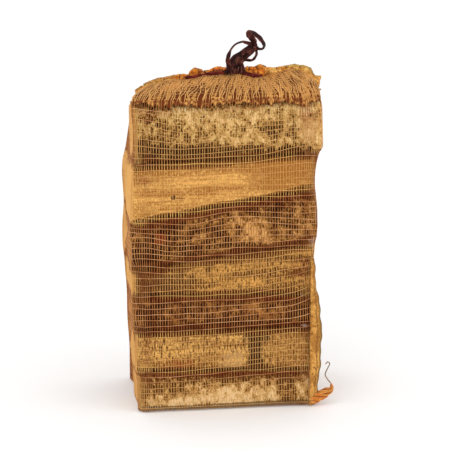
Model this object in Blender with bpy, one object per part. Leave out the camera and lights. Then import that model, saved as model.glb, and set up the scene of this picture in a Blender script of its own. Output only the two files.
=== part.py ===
"""A firewood bundle, as sold by the bag.

Split birch logs lie packed in an upright knitted net, which is drawn shut at the top with
a flat tape. Metres, +Z up. The front faces -Y, the logs lie along X, and the bundle stands
on its flat bottom at z = 0 with the origin in the middle of its outline.
"""

import math
from dataclasses import dataclass

import bmesh
import bpy
import numpy as np
from mathutils import Vector, noise

MM = 0.001

# The logs. A log lies in its cell: heights of the cell at the left and right sides of the
# bundle, depths from the front, and the places of its two sawn ends.
HALF_LENGTH = 125 * MM
LOG_SECTIONS = 9
POINT_SPACING = 15.5 * MM
LEAST_BARK_STEPS = 4
SAW_SLOPE = 0.03
BARK_FULLNESS = 0.78
LOG_SWELL = 4.6 * MM
BARK_LUMP = 3.6 * MM
SPLIT_RIDGE = 2.8 * MM
SPLIT_LEDGE = 2.8 * MM
LEDGE_LEVEL = 0.56
SWELL_GRAIN = Vector((95, 60, 60)) * MM
BARK_GRAIN = Vector((48, 22, 22)) * MM
SPLIT_GRAIN = Vector((120, 15, 15)) * MM

# The net bag. Its wall stands clear of the logs and is as thick as two layers of yarn. Below
# the eave it is made of plane walls that face the wall angles, and it slopes in above.
NET_THICKNESS = 1.3 * MM
NET_CLEARANCE = 1.2 * MM
NET_FLOOR = NET_THICKNESS
NET_EAVE = 421 * MM
EAVE_SLOPE = Vector((0.02, -0.06))
NET_LEVELS = 16
RELAX_ROUNDS = 3
WALL_ANGLES = (0, 45, 90, 135, 177, 225, 270, 315)
WALL_SEGMENTS = (4, 1, 18, 1, 4, 1, 18, 1)
FRONT_RIGHT = 7

# The mouth: drawn shut to a long narrow slit, with a short upright neck under a hem that is
# gathered in puffs. It tilts along the bundle and sags towards both of its ends.
MOUTH_CENTRE = Vector((14, -23.4)) * MM
MOUTH_HALF_LENGTH = 115 * MM
MOUTH_HALF_WIDTH = 1.6 * MM
MOUTH_BLUNTNESS = 0.4
MOUTH_SPANS = (30, 10, 130, 10, 30, 10, 130, 10)
MOUTH_TILT = 0.07
MOUTH_SAG = 14 * MM
SHOULDER_SHARE = 0.5
SHOULDER_SWELL = 0.04
NECK_LOW = 436.6 * MM
NECK_HIGH = 447.4 * MM
HEM_TOP = 452.5 * MM
HEM_FLARE = 3.0 * MM
HEM_PUFF = 3.0 * MM
HEM_RISE = 3.0 * MM
PUFF_LENGTH = 35.0 * MM
PUFF_CREST = 2.0 * MM
GATHERED_END = 75 * MM
LOOSE_PUFF = 0.4

# The side seam stands off the front right corner, less so near its top, and the bottom corner
# is a twisted tail.
SEAM_TOP = 190 * MM
SEAM_BOTTOM = 5 * MM
SEAM_EDGES = (127.5, 127.5, 119)
SEAM_EDGE_HEIGHTS = (5, 133, 190)
SEAM_LEAST = 1.8 * MM
SEAM_WAVE = 1.6 * MM
SEAM_WAVE_LENGTH = 55 * MM
SEAM_THICKNESS = 2.4 * MM
SEAM_STEPS = 16
TAIL_POINTS = ((126, -90, 14), (133, -92, 17.5), (139.5, -93, 20), (143, -93, 25), (141.6, -93, 29))
TAIL_RADII = (8.5, 8.5, 7.5, 5.5, 3.2, 1.6)
TAIL_ROOT_HEIGHT = 10.5 * MM
TAIL_SIDES = 10

# The sewing thread's loose end, from the tip of the tail to its hook.
THREAD_RADIUS = 0.8 * MM
THREAD_POINTS = (
    (140.8, -93, 31.2), (137, -93, 36), (133.6, -93, 42), (134.6, -93, 47.5),
    (137.4, -93, 53), (139.4, -93, 58), (136.8, -93, 60.6), (133.6, -93, 57.6),
)
THREAD_STEPS = 2

# The drawstring tape: a band round the neck, a pleated bundle up to a knot, and three loops.
# The middle depths of the knots and loops are measured from the depth of the pleats.
TAPE_THICKNESS = 1.0 * MM
TAPE_GAP = 0.9 * MM
BAND_LOW = 443.0 * MM
BAND_HIGH = 446.2 * MM
TIE_DEPTH = Vector((0, -37.5, 0)) * MM
PLEAT_STEPS = (
    ((6.5, 32.5), 443.5), ((6.5, 32.5), 452), ((16, 37), 461), ((29, 43), 471), ((39.5, 48), 479),
)
PLEAT_THICKNESS = 3.2 * MM
PLEAT_DEPTH = 0.9 * MM
PLEATS = 5
TOP_KNOT = Vector((44.5, 0, 480.5)) * MM
TOP_KNOT_SIZE = Vector((5.2, 3.4, 4.8)) * MM
FOOT_KNOT = Vector((19.5, 5.2, 445.2)) * MM
FOOT_KNOT_SIZE = Vector((12, 5.1, 3.6)) * MM
LOOP_WIDTH = 7 * MM
LOOP_STEPS = 2
TOP_LOOP = (
    (43.5, 0.5, 482), (41.5, -0.5, 488), (35.5, -2.5, 494), (33.4, -3.5, 499), (37, -2.5, 501.6),
    (42, -0.5, 500.6), (49, 1.5, 496), (56, 2.5, 488.5), (59, 2.5, 482.5), (54.5, 1.5, 478),
    (46, 0.5, 479),
)
LEFT_LOOP = (
    (10.5, -0.5, 455), (7.6, -1.5, 463), (7.4, -2.5, 470.5), (12.2, -3.5, 480), (18, -3.5, 485.6),
    (26, -2.5, 488.4), (33, -1.5, 487.2), (43, 0, 482.5),
)
RIGHT_LOOP = (
    (44.2, 0.3, 480.4), (46.6, -1.5, 473.5), (44.8, -2.7, 468), (39.8, -2.1, 464.2), (31, -0.4, 465.2),
)
TOP_LOOP_SIDE = Vector((-0.45, 0.75, 0.5))
LEFT_LOOP_SIDE = Vector((0.1, 1, 0.1))
RIGHT_LOOP_SIDE = Vector((0.21, 1, 0.06))

SHARP_ANGLE = math.radians(38)

WOOD = (0.46, 0.27, 0.11)
BIRCH_BARK = (0.36, 0.24, 0.13)
NET_ORANGE = (0.72, 0.38, 0.09)
TAPE_MAROON = (0.035, 0.012, 0.012)
THREAD_BROWN = (0.25, 0.18, 0.11)

CORNER, ROUND = "corner", "round"

# Cross-sections in cell units, the depth from 0 in front to 1 behind and the height from 0
# to 1. A round point bends the stretch between the corners on its two sides into bark.
CREST_LOG = (
    (CORNER, 1.0, 0.0), (CORNER, 0.03, 0.0), (ROUND, -0.03, 0.45), (CORNER, 0.04, 0.86),
    (ROUND, 0.07, 1.0), (CORNER, 0.3, 1.0), (CORNER, 0.97, 0.95),
)
SECTOR_LOG = (
    (CORNER, 1.0, 0.42), (CORNER, 0.09, 0.0), (ROUND, -0.11, 0.5), (CORNER, 0.11, 1.0),
)
ROOF_LOG = (
    (CORNER, 0.45, 0.0), (CORNER, 0.0, 0.72), (ROUND, 0.48, 1.3), (CORNER, 1.0, 0.78),
)
HALF_LOG = (
    (CORNER, 0.04, 0.0), (CORNER, 0.0, 0.5), (ROUND, 0.0, 1.0), (CORNER, 0.5, 1.0),
    (ROUND, 1.02, 1.0), (CORNER, 0.98, 0.0),
)
SLAB_LOG = (
    (CORNER, 0.0, 0.0), (CORNER, 0.0, 1.0), (CORNER, 0.82, 0.96), (ROUND, 1.12, 0.52),
    (CORNER, 0.86, 0.08),
)
WEDGE_LOG = (
    (CORNER, 0.0, 0.0), (CORNER, 0.0, 1.0), (CORNER, 0.93, 0.72), (ROUND, 1.08, 0.42),
    (CORNER, 0.9, 0.12),
)
BLOCK_LOG = (
    (CORNER, 0.0, 0.0), (CORNER, 0.02, 1.0), (ROUND, 0.98, 1.02), (CORNER, 1.0, 0.3),
    (CORNER, 0.72, 0.0),
)
FOOT_LOG = (
    (CORNER, 0.96, 0.0), (CORNER, 0.02, 0.0), (ROUND, -0.05, 0.5), (CORNER, 0.09, 1.0),
    (CORNER, 1.0, 0.72),
)


@dataclass(frozen=True)
class Log:
    """One split log. Lengths are in millimetres, and turned logs have their front behind."""

    name: str
    ends: tuple[float, float]
    left: tuple[float, float]
    right: tuple[float, float]
    depth: tuple[float, float]
    outline: tuple[tuple[str, float, float], ...]
    colour: tuple[float, float, float]
    turned: bool = False


LOGS = (
    Log("log_front_1", (-119, 125), (333, 415.5), (345, 419), (-96, 0), CREST_LOG, BIRCH_BARK),
    Log("log_front_2", (-125, 113), (254, 332), (300, 344), (-96, -6), SLAB_LOG, WOOD),
    Log("log_front_3", (-127, 119), (192, 253), (226, 299), (-97, -2), SECTOR_LOG, BIRCH_BARK),
    Log("log_front_4", (-124, 115), (160, 191), (153, 225), (-93, -16), WEDGE_LOG, WOOD),
    Log("log_front_5", (-125, 119), (110, 159), (108, 152), (-96, -4), SECTOR_LOG, BIRCH_BARK),
    Log("log_front_6", (-121, 121), (55, 109), (50, 107), (-95, -8), BLOCK_LOG, WOOD),
    Log("log_front_7", (-117, 113), (2.5, 54), (2.5, 49), (-95, -1), FOOT_LOG, BIRCH_BARK),
    Log("log_back_1", (-107, 121), (335, 411), (345, 416), (2, 94), ROOF_LOG, BIRCH_BARK, True),
    Log("log_back_2", (-119, 121), (263, 334), (290, 344), (1, 96), HALF_LOG, WOOD, True),
    Log("log_back_3", (-120, 121), (186, 262), (213, 289), (3, 93), SECTOR_LOG, BIRCH_BARK, True),
    Log("log_back_4", (-116, 121), (146, 185), (152, 212), (0, 95), BLOCK_LOG, WOOD, True),
    Log("log_back_5", (-112, 121), (61, 145), (57, 151), (4, 94), SECTOR_LOG, BIRCH_BARK, True),
    Log("log_back_6", (-109, 119), (2.5, 60), (2.5, 56), (1, 95), FOOT_LOG, BIRCH_BARK, True),
)


def clear_scene():
    """Removes every object of the scene."""
    for obj in list(bpy.data.objects):
        bpy.data.objects.remove(obj, do_unlink=True)


def plain_material(name, colour, roughness):
    """Makes a Principled material with one colour."""
    material = bpy.data.materials.new(name)
    material.use_nodes = True
    shader = material.node_tree.nodes["Principled BSDF"]
    shader.inputs["Base Color"].default_value = (*colour, 1.0)
    shader.inputs["Roughness"].default_value = roughness
    material.diffuse_color = (*colour, 1.0)
    return material


def add_object(name, points, faces, colour, roughness=0.8):
    """Makes a mesh object from points and faces, shaded smooth but for its sharp edges."""
    mesh = bpy.data.meshes.new(name)
    mesh.from_pydata([tuple(point) for point in points], [], faces)
    mesh.materials.append(plain_material(name, colour, roughness))
    mesh.shade_smooth()
    mesh.set_sharp_from_angle(angle=SHARP_ANGLE)
    obj = bpy.data.objects.new(name, mesh)
    bpy.context.scene.collection.objects.link(obj)
    return obj


def face_outwards(obj):
    """Turns the faces of a closed mesh outwards."""
    shape = bmesh.new()
    shape.from_mesh(obj.data)
    bmesh.ops.recalc_face_normals(shape, faces=shape.faces)
    shape.to_mesh(obj.data)
    shape.free()


def tube(rings, closed=False):
    """Joins rings of equally many points into an open tube, or into a closed hoop."""
    count = len(rings[0])
    points = [point for ring in rings for point in ring]
    faces = []
    for row in range(len(rings) if closed else len(rings) - 1):
        low, high = row * count, (row + 1) % len(rings) * count
        for i in range(count):
            j = (i + 1) % count
            faces.append((low + i, low + j, high + j, high + i))
    return points, faces


def loft(rings):
    """Joins rings into a tube with a fan of faces across each of its two ends."""
    count = len(rings[0])
    points, faces = tube(rings)
    for row in (0, len(rings) - 1):
        middle = sum(rings[row], Vector()) / count
        points.append(middle)
        hub, first = len(points) - 1, row * count
        faces += [(hub, first + i, first + (i + 1) % count) for i in range(count)]
    return points, faces


def bent(start, through, end, share):
    """A point of the rounded stretch from start to end that bends towards through."""
    angle = share * math.pi / 2
    first = 1 - math.sin(angle) ** BARK_FULLNESS
    last = 1 - math.cos(angle) ** BARK_FULLNESS
    return through + (start - through) * first + (end - through) * last


def outline_points(outline, width, height):
    """Spreads points round a cross-section in cell units. Returns them with their bark marks."""
    found = []
    count = len(outline)
    for i, (kind, a, b) in enumerate(outline):
        if kind == ROUND:
            continue
        start = Vector((a, b))
        next_kind, next_a, next_b = outline[(i + 1) % count]
        is_bark = next_kind == ROUND
        through = Vector((next_a, next_b))
        end = Vector(outline[(i + 2) % count][1:]) if is_bark else through
        if is_bark:
            legs = ((through - start) + (end - through)) / 2
            reach = (abs(legs.x) * width + abs(legs.y) * height) * math.sqrt(2)
        else:
            reach = math.hypot((end - start).x * width, (end - start).y * height)
        steps = max(LEAST_BARK_STEPS if is_bark else 1, round(reach / POINT_SPACING))
        for step in range(steps):
            share = step / steps
            point = bent(start, through, end, share) if is_bark else start.lerp(end, share)
            found.append((point, is_bark))
    return found


def wave(place, grain, shift):
    """Smooth noise from 0 to 1 with the given grain size along each axis."""
    spot = Vector(p / g for p, g in zip(place, grain)) + shift
    return 0.5 + 0.5 * noise.noise(spot)


def surface_depth(place, is_bark, shift):
    """How far the surface at a place lies inside the smooth outline: swell, lumps and ledges."""
    depth = LOG_SWELL * wave(place, SWELL_GRAIN, shift)
    if is_bark:
        return depth + BARK_LUMP * wave(place, BARK_GRAIN, shift)
    if wave(place, SPLIT_GRAIN / 2, shift) > LEDGE_LEVEL:
        depth += SPLIT_LEDGE
    return depth + SPLIT_RIDGE * wave(place, SPLIT_GRAIN, shift)


def build_log(log, number):
    """Makes one log as a lofted solid."""
    near, far = (edge * MM for edge in log.depth)
    start, end = (edge * MM for edge in log.ends)
    width = far - near
    height = (log.left[1] - log.left[0] + log.right[1] - log.right[0]) / 2 * MM
    outline = outline_points(log.outline, width, height)
    shift = Vector((number * 7.3, number * 3.1, number * 5.7))
    rings = []
    for section in range(LOG_SECTIONS):
        x = start + (end - start) * section / (LOG_SECTIONS - 1)
        across = (x + HALF_LENGTH) / (2 * HALF_LENGTH)
        bottom = (log.left[0] + (log.right[0] - log.left[0]) * across) * MM
        top = (log.left[1] + (log.right[1] - log.left[1]) * across) * MM
        middle = Vector((x, (near + far) / 2, (bottom + top) / 2))
        ring = []
        for point, is_bark in outline:
            depth = 1 - point.x if log.turned else point.x
            depth = min(max(depth, 0.0), 1.0)
            level = min(max(point.y, 0.0), 1.0)
            place = Vector((x, near + width * depth, bottom + (top - bottom) * level))
            inward = (middle - place).normalized()
            place += inward * surface_depth(place, is_bark, shift)
            saw_side = 1 if number % 2 else -1
            place.x += saw_side * SAW_SLOPE * (place.z - middle.z)
            ring.append(place)
        rings.append(ring)
    obj = add_object(log.name, *loft(rings), log.colour)
    face_outwards(obj)
    return obj


def surface_samples(objects, gap=4 * MM):
    """Points spread along every edge of the objects, as an array."""
    found = []
    for obj in objects:
        places = [vertex.co for vertex in obj.data.vertices]
        for edge in obj.data.edges:
            start, end = (places[i] for i in edge.vertices)
            steps = max(1, math.ceil((end - start).length / gap))
            found += [start.lerp(end, step / steps) for step in range(steps + 1)]
    return np.array(found)


def wall_directions():
    """The directions that the walls of the bag face, seen from above."""
    turns = [math.radians(angle) for angle in WALL_ANGLES]
    return [Vector((math.cos(turn), math.sin(turn))) for turn in turns]


def wall_reaches(samples, levels):
    """How far the bag reaches at each level in each direction to go round all the logs there."""
    spacing = max(high - low for low, high in zip(levels, levels[1:])) + NET_CLEARANCE
    needed = np.zeros((len(levels), len(WALL_ANGLES)))
    for row, level in enumerate(levels):
        near = samples[np.abs(samples[:, 2] - level) <= spacing]
        for column, direction in enumerate(wall_directions()):
            needed[row, column] = (near[:, :2] @ np.array(direction)).max() + NET_CLEARANCE
    taut = needed.copy()
    for _ in range(RELAX_ROUNDS):
        mean = (taut[:-2] + taut[1:-1] + taut[2:]) / 3
        taut[1:-1] = np.maximum(needed[1:-1], mean)
    return taut


def wall_corners(reaches):
    """Where each wall meets the next one, seen from above."""
    directions = wall_directions()
    corners = []
    for k, a in enumerate(directions):
        following = (k + 1) % len(directions)
        b = directions[following]
        reach_a, reach_b = reaches[k], reaches[following]
        area = a.x * b.y - a.y * b.x
        x = (reach_a * b.y - reach_b * a.y) / area
        y = (a.x * reach_b - b.x * reach_a) / area
        corners.append(Vector((x, y)))
    return corners


def wall_ring(reaches, level):
    """The bag's outline at one level."""
    corners = wall_corners(reaches)
    ring = []
    for k, segments in enumerate(WALL_SEGMENTS):
        start, end = corners[k - 1], corners[k]
        for i in range(segments):
            spot = start.lerp(end, i / segments)
            ring.append(Vector((spot.x, spot.y, level)))
    return ring


def mouth_outline():
    """The drawn mouth's outline before it is ruffled, seen from above."""
    outline = []
    angle = -MOUTH_SPANS[0] / 2
    for span, segments in zip(MOUTH_SPANS, WALL_SEGMENTS):
        for i in range(segments):
            turn = math.radians(angle + span * i / segments)
            width = math.copysign(abs(math.sin(turn)) ** MOUTH_BLUNTNESS, math.sin(turn))
            spot = Vector((math.cos(turn) * MOUTH_HALF_LENGTH, width * MOUTH_HALF_WIDTH))
            outline.append(MOUTH_CENTRE + spot)
        angle += span
    return outline


def mouth_ring(level, swell=0.0, puff=0.0, rise=0.0):
    """The outline of the mouth at one level, widened by swell and ruffled in rounded puffs."""
    outline = mouth_outline()
    ring = []
    for i, spot in enumerate(outline):
        before = (spot - outline[i - 1]).normalized()
        after = (outline[(i + 1) % len(outline)] - spot).normalized()
        outward = Vector((before.y + after.y, -before.x - after.x)) / (1 + before.dot(after))
        share = 1.0 if spot.x < GATHERED_END else LOOSE_PUFF
        if spot.y > MOUTH_CENTRE.y:
            share = -share
        ruffle = share * math.cos(2 * math.pi * (spot.x - PUFF_CREST) / PUFF_LENGTH)
        place = spot + outward * (swell + ruffle * puff)
        aside = spot.x - MOUTH_CENTRE.x
        fall = MOUTH_SAG * (aside / MOUTH_HALF_LENGTH) ** 4 - MOUTH_TILT * aside
        ring.append(Vector((place.x, place.y, level + ruffle * rise - fall)))
    return ring


def build_net(logs):
    """Makes the net bag as a thin shell round the logs, open at its drawn mouth."""
    levels = [NET_FLOOR + (NET_EAVE - NET_FLOOR) * k / (NET_LEVELS - 1) for k in range(NET_LEVELS)]
    reaches = wall_reaches(surface_samples(logs), levels)
    rings = [wall_ring(reach, level) for reach, level in zip(reaches, levels)]
    front = min(point.y for point in rings[-1])
    for point in rings[-1]:
        point.z += EAVE_SLOPE.x * point.x + EAVE_SLOPE.y * (point.y - front)
    neck = mouth_ring(NECK_LOW)
    shoulder = []
    for low, high in zip(rings[-1], neck):
        point = low.lerp(high, SHOULDER_SHARE)
        point.z += (high - low).length * SHOULDER_SWELL
        shoulder.append(point)
    rings += [shoulder, neck, mouth_ring(NECK_HIGH), mouth_ring(HEM_TOP, HEM_FLARE, HEM_PUFF, HEM_RISE)]
    points, faces = tube(rings)
    faces.append(tuple(reversed(range(len(neck)))))
    net = add_object("net_bag", points, faces, NET_ORANGE)
    wall = net.modifiers.new("wall", "SOLIDIFY")
    wall.thickness = NET_THICKNESS
    wall.offset = 1
    wall.use_even_offset = True
    add_union(net, build_seam(levels, reaches), "side_seam")
    add_union(net, build_tail(reaches[0]), "corner_tail")
    return net


def add_union(obj, helper, name):
    """Joins a helper to an object with a Boolean, and hides the helper."""
    helper.hide_render = True
    helper.display_type = "WIRE"
    join = obj.modifiers.new(name, "BOOLEAN")
    join.operation = "UNION"
    join.solver = "EXACT"
    join.object = helper


def corner_root(reaches):
    """The middle of the bag's front right corner, halfway through its wall, seen from above."""
    corners = wall_corners(reaches)
    outward = wall_directions()[FRONT_RIGHT]
    return (corners[FRONT_RIGHT - 1] + corners[FRONT_RIGHT]) / 2 + outward * NET_THICKNESS / 2


def build_seam(levels, reaches):
    """Makes the doubled edge of the side seam, a thin wavy strip on the front right corner."""
    rings = []
    outward = wall_directions()[FRONT_RIGHT]
    along = Vector((-outward.y, outward.x)) * SEAM_THICKNESS / 2
    for step in range(SEAM_STEPS + 1):
        height = SEAM_BOTTOM + (SEAM_TOP - SEAM_BOTTOM) * step / SEAM_STEPS
        root = corner_root([np.interp(height, levels, column) for column in reaches.T])
        turn = 2 * math.pi * height / SEAM_WAVE_LENGTH
        edge = root + outward * SEAM_LEAST
        reach = np.interp(height / MM, SEAM_EDGE_HEIGHTS, SEAM_EDGES) * MM
        edge.x = max(reach + SEAM_WAVE * math.sin(turn), edge.x)
        edge.y += SEAM_WAVE * math.cos(turn)
        spots = (root - along, edge - along, edge + along, root + along)
        rings.append([Vector((spot.x, spot.y, height)) for spot in spots])
    strip = add_object("side_seam", *loft(rings), NET_ORANGE)
    face_outwards(strip)
    return strip


def smooth_path(points, steps):
    """Points along a smooth curve through the given points, with steps between each two."""
    places = [Vector(point) for point in points]
    places = [places[0] * 2 - places[1], *places, places[-1] * 2 - places[-2]]
    found = []
    for before, start, end, after in zip(places, places[1:], places[2:], places[3:]):
        for step in range(steps):
            t = step / steps
            found.append(0.5 * (
                2 * start + (end - before) * t
                + (2 * before - 5 * start + 4 * end - after) * t ** 2
                + (3 * start - before - 3 * end + after) * t ** 3
            ))
    return [*found, places[-2]]


def path_frames(path, side):
    """For each point of a path, its two directions across: one near side, one at right angles."""
    frames = []
    for i, _ in enumerate(path):
        along = (path[min(i + 1, len(path) - 1)] - path[max(i - 1, 0)]).normalized()
        across = (side - along * side.dot(along)).normalized()
        frames.append((across, along.cross(across)))
    return frames


def build_tail(reaches):
    """Makes the twisted corner of the bag, from the bottom of its front right corner to its tip."""
    root = corner_root(reaches)
    outward = wall_directions()[FRONT_RIGHT]
    path = [Vector((root.x, root.y, TAIL_ROOT_HEIGHT)), *(Vector(point) * MM for point in TAIL_POINTS)]
    frames = path_frames(path, Vector((0, 1, 0)))
    frames[0] = (Vector((-outward.y, outward.x, 0)), Vector((0, 0, 1)))
    rings = []
    for place, (across, upward), radius in zip(path, frames, TAIL_RADII):
        ring = []
        for side in range(TAIL_SIDES):
            angle = 2 * math.pi * side / TAIL_SIDES
            fold = 1.0 if side % 2 else 0.86
            spread = across * math.cos(angle) + upward * math.sin(angle)
            ring.append(place + spread * radius * fold * MM)
        rings.append(ring)
    tail = add_object("corner_tail", *loft(rings), NET_ORANGE)
    face_outwards(tail)
    return tail


def build_thread():
    """Makes the loose end of the seam's thread as a thin tube."""
    path = smooth_path([Vector(point) * MM for point in THREAD_POINTS], THREAD_STEPS)
    curve = bpy.data.curves.new("seam_thread", "CURVE")
    curve.dimensions = "3D"
    curve.bevel_depth = THREAD_RADIUS
    curve.bevel_resolution = 2
    curve.use_fill_caps = True
    line = curve.splines.new("POLY")
    line.points.add(len(path) - 1)
    for point, place in zip(line.points, path):
        point.co = (*place, 1.0)
    curve.materials.append(plain_material("seam_thread", THREAD_BROWN, 0.7))
    thread = bpy.data.objects.new("seam_thread", curve)
    bpy.context.scene.collection.objects.link(thread)
    return thread


def build_band():
    """Makes the stretch of tape that goes round the neck of the bag."""
    inner = NET_THICKNESS + TAPE_GAP
    outer = inner + TAPE_THICKNESS
    corners = ((BAND_LOW, inner), (BAND_LOW, outer), (BAND_HIGH, outer), (BAND_HIGH, inner))
    rings = [mouth_ring(level, swell) for level, swell in corners]
    band = add_object("drawstring_tape", *tube(rings, closed=True), TAPE_MAROON, 0.45)
    face_outwards(band)
    return band


def build_pleats():
    """Makes the gathered, pleated stretch of tape that rises from the neck to the knot."""
    rings = []
    for (left, right), height in PLEAT_STEPS:
        front, back = [], []
        for i in range(2 * PLEATS + 1):
            x = (left + (right - left) * i / (2 * PLEATS)) * MM
            dent = PLEAT_DEPTH if i % 2 else 0.0
            reach = PLEAT_THICKNESS / 2 - dent
            front.append(TIE_DEPTH + Vector((x, -reach, height * MM)))
            back.append(TIE_DEPTH + Vector((x, reach, height * MM)))
        rings.append([*front, *reversed(back)])
    points, faces = tube(rings)
    last = len(rings[0]) - 1
    for first in (0, len(points) - len(rings[0])):
        for i in range(2 * PLEATS):
            faces.append((first + i, first + i + 1, first + last - i - 1, first + last - i))
    pleats = add_object("tape_pleats", points, faces, TAPE_MAROON)
    face_outwards(pleats)
    return pleats


def build_ribbon(name, points, side):
    """Makes a flat loop of tape along a smooth path, its width along side."""
    path = smooth_path([TIE_DEPTH + Vector(point) * MM for point in points], LOOP_STEPS)
    rings = []
    for place, (across, upward) in zip(path, path_frames(path, side.normalized())):
        wide, thick = across * LOOP_WIDTH / 2, upward * TAPE_THICKNESS / 2
        rings.append([place - wide - thick, place + wide - thick, place + wide + thick, place - wide + thick])
    ribbon = add_object(name, *loft(rings), TAPE_MAROON)
    face_outwards(ribbon)
    return ribbon


def build_lump(name, centre, size):
    """Makes a rounded knot."""
    shape = bmesh.new()
    bmesh.ops.create_uvsphere(shape, u_segments=10, v_segments=6, radius=1.0)
    for vertex in shape.verts:
        vertex.co = TIE_DEPTH + centre + Vector(c * s for c, s in zip(vertex.co, size))
    mesh = bpy.data.meshes.new(name)
    shape.to_mesh(mesh)
    shape.free()
    lump = bpy.data.objects.new(name, mesh)
    bpy.context.scene.collection.objects.link(lump)
    return lump


def build_tape():
    """Makes the drawstring tape as one piece: band, foot knot, pleats, knot and loops."""
    tape = build_band()
    helpers = (
        build_lump("foot_knot", FOOT_KNOT, FOOT_KNOT_SIZE),
        build_pleats(),
        build_ribbon("right_loop", RIGHT_LOOP, RIGHT_LOOP_SIDE),
        build_ribbon("left_loop", LEFT_LOOP, LEFT_LOOP_SIDE),
        build_lump("top_knot", TOP_KNOT, TOP_KNOT_SIZE),
        build_ribbon("top_loop", TOP_LOOP, TOP_LOOP_SIDE),
    )
    for helper in helpers:
        add_union(tape, helper, helper.name)
    return tape


def stand_on_origin(pieces):
    """Parents all objects to an empty that puts the middle of the pieces' outline over the origin."""
    bpy.context.view_layer.update()
    graph = bpy.context.evaluated_depsgraph_get()
    corners = [
        obj.matrix_world @ vertex.co
        for obj in pieces
        for vertex in obj.evaluated_get(graph).to_mesh().vertices
    ]
    objects = list(bpy.context.scene.collection.objects)
    bundle = bpy.data.objects.new("bundle", None)
    bpy.context.scene.collection.objects.link(bundle)
    for axis in (0, 1):
        reach = [corner[axis] for corner in corners]
        bundle.location[axis] = -(min(reach) + max(reach)) / 2
    bundle.location.z = -min(corner.z for corner in corners)
    for obj in objects:
        obj.parent = bundle


def main():
    """Builds the whole bundle."""
    clear_scene()
    logs = [build_log(log, number) for number, log in enumerate(LOGS)]
    net = build_net(logs)
    tape = build_tape()
    thread = build_thread()
    stand_on_origin([*logs, net, tape, thread])


main()
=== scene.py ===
"""The looks of a firewood bundle: split birch logs in an upright orange net bag.

The net is knitted from flat yarn, gathered in a puffed hem and drawn shut with a dark flat
tape. Sizes are in metres, and places on the bundle are first given in the maker's own
coordinates, whose origin lies under the middle of the stack of logs.
"""

import logging
import math
from dataclasses import dataclass, field, replace
from enum import Enum
from typing import Iterator, Sequence, Union

import bmesh
import bpy
import numpy as np
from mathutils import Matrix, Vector, noise
from mathutils.bvhtree import BVHTree


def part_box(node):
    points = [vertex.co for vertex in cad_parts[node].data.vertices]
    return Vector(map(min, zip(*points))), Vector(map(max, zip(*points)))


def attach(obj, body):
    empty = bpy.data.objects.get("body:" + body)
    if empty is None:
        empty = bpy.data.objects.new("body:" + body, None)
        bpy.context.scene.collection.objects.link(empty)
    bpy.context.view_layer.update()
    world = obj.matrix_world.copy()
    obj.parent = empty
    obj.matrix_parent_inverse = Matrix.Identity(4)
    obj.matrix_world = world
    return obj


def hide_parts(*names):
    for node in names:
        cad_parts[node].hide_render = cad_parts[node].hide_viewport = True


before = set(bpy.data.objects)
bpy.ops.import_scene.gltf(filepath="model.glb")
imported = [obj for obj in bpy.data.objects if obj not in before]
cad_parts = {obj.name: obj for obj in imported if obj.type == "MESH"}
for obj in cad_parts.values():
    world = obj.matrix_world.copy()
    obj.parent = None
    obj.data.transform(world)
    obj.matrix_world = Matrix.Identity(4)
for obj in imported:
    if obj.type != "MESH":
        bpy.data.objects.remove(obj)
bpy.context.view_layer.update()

logging.basicConfig(level=logging.INFO, format="%(message)s")
log = logging.getLogger("bundle")

MM = 0.001
ORIGIN = Vector((-6.0372, 1.8956, 0.0)) * MM
BODY = "root"
TO_BACK = Vector((0, 1, 0))
TINY = 1e-12

Colour = tuple[float, float, float]
Number = Union[float, int, "Wire"]
Amount = Union[float, np.ndarray]
Scale = Union[float, Sequence[float]]


def srgb(red: int, green: int, blue: int) -> Colour:
    """Turns a colour as it looks on screen, 0 to 255, into linear values."""
    parts = (value / 255 for value in (red, green, blue))
    return tuple(p / 12.92 if p <= 0.04045 else ((p + 0.055) / 1.055) ** 2.4 for p in parts)


def at(x: float, y: float, z: float) -> Vector:
    """A place on the bundle from millimetres in the maker's coordinates."""
    return Vector((x, y, z)) * MM + ORIGIN


def angles(count: int) -> list[float]:
    """The angles of evenly spaced places round a circle."""
    return [math.tau * k / count for k in range(count)]


def wobble(x: float, y: float, z: float) -> float:
    """Smooth noise from about -1 to 1, with lumps of about one unit."""
    return noise.noise(Vector((x, y, z)))


def smooth_line(points: Sequence[Vector], steps: int) -> list[Vector]:
    """Points along a smooth curve through the given points.

    Args:
        points: the points that the curve passes through.
        steps: how many short stretches lie between each two of them.

    Returns:
        The points of the curve, both ends among them.
    """
    places = [Vector(point) for point in points]
    places = [places[0] * 2 - places[1], *places, places[-1] * 2 - places[-2]]
    found = []
    for before, start, end, after in zip(places, places[1:], places[2:], places[3:]):
        for step in range(steps):
            t = step / steps
            found.append(0.5 * (
                2 * start + (end - before) * t
                + (2 * before - 5 * start + 4 * end - after) * t ** 2
                + (3 * start - before - 3 * end + after) * t ** 3
            ))
    return [*found, places[-2]]


def walk(path: Sequence[Vector]) -> Iterator[tuple[Vector, Vector, Vector]]:
    """Walks along a path.

    Args:
        path: its points.

    Yields:
        Each point, the way ahead, and the way square to it that points most nearly to the back.
    """
    for i, place in enumerate(path):
        ahead = (path[min(i + 1, len(path) - 1)] - path[max(i - 1, 0)]).normalized()
        yield place, ahead, (TO_BACK - ahead * TO_BACK.dot(ahead)).normalized()


def smoothstep(low: float, high: float, value: Amount) -> Amount:
    """Rises smoothly from 0 at low to 1 at high."""
    t = np.clip((value - low) / (high - low), 0.0, 1.0)
    return t * t * (3 - 2 * t)


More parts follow.
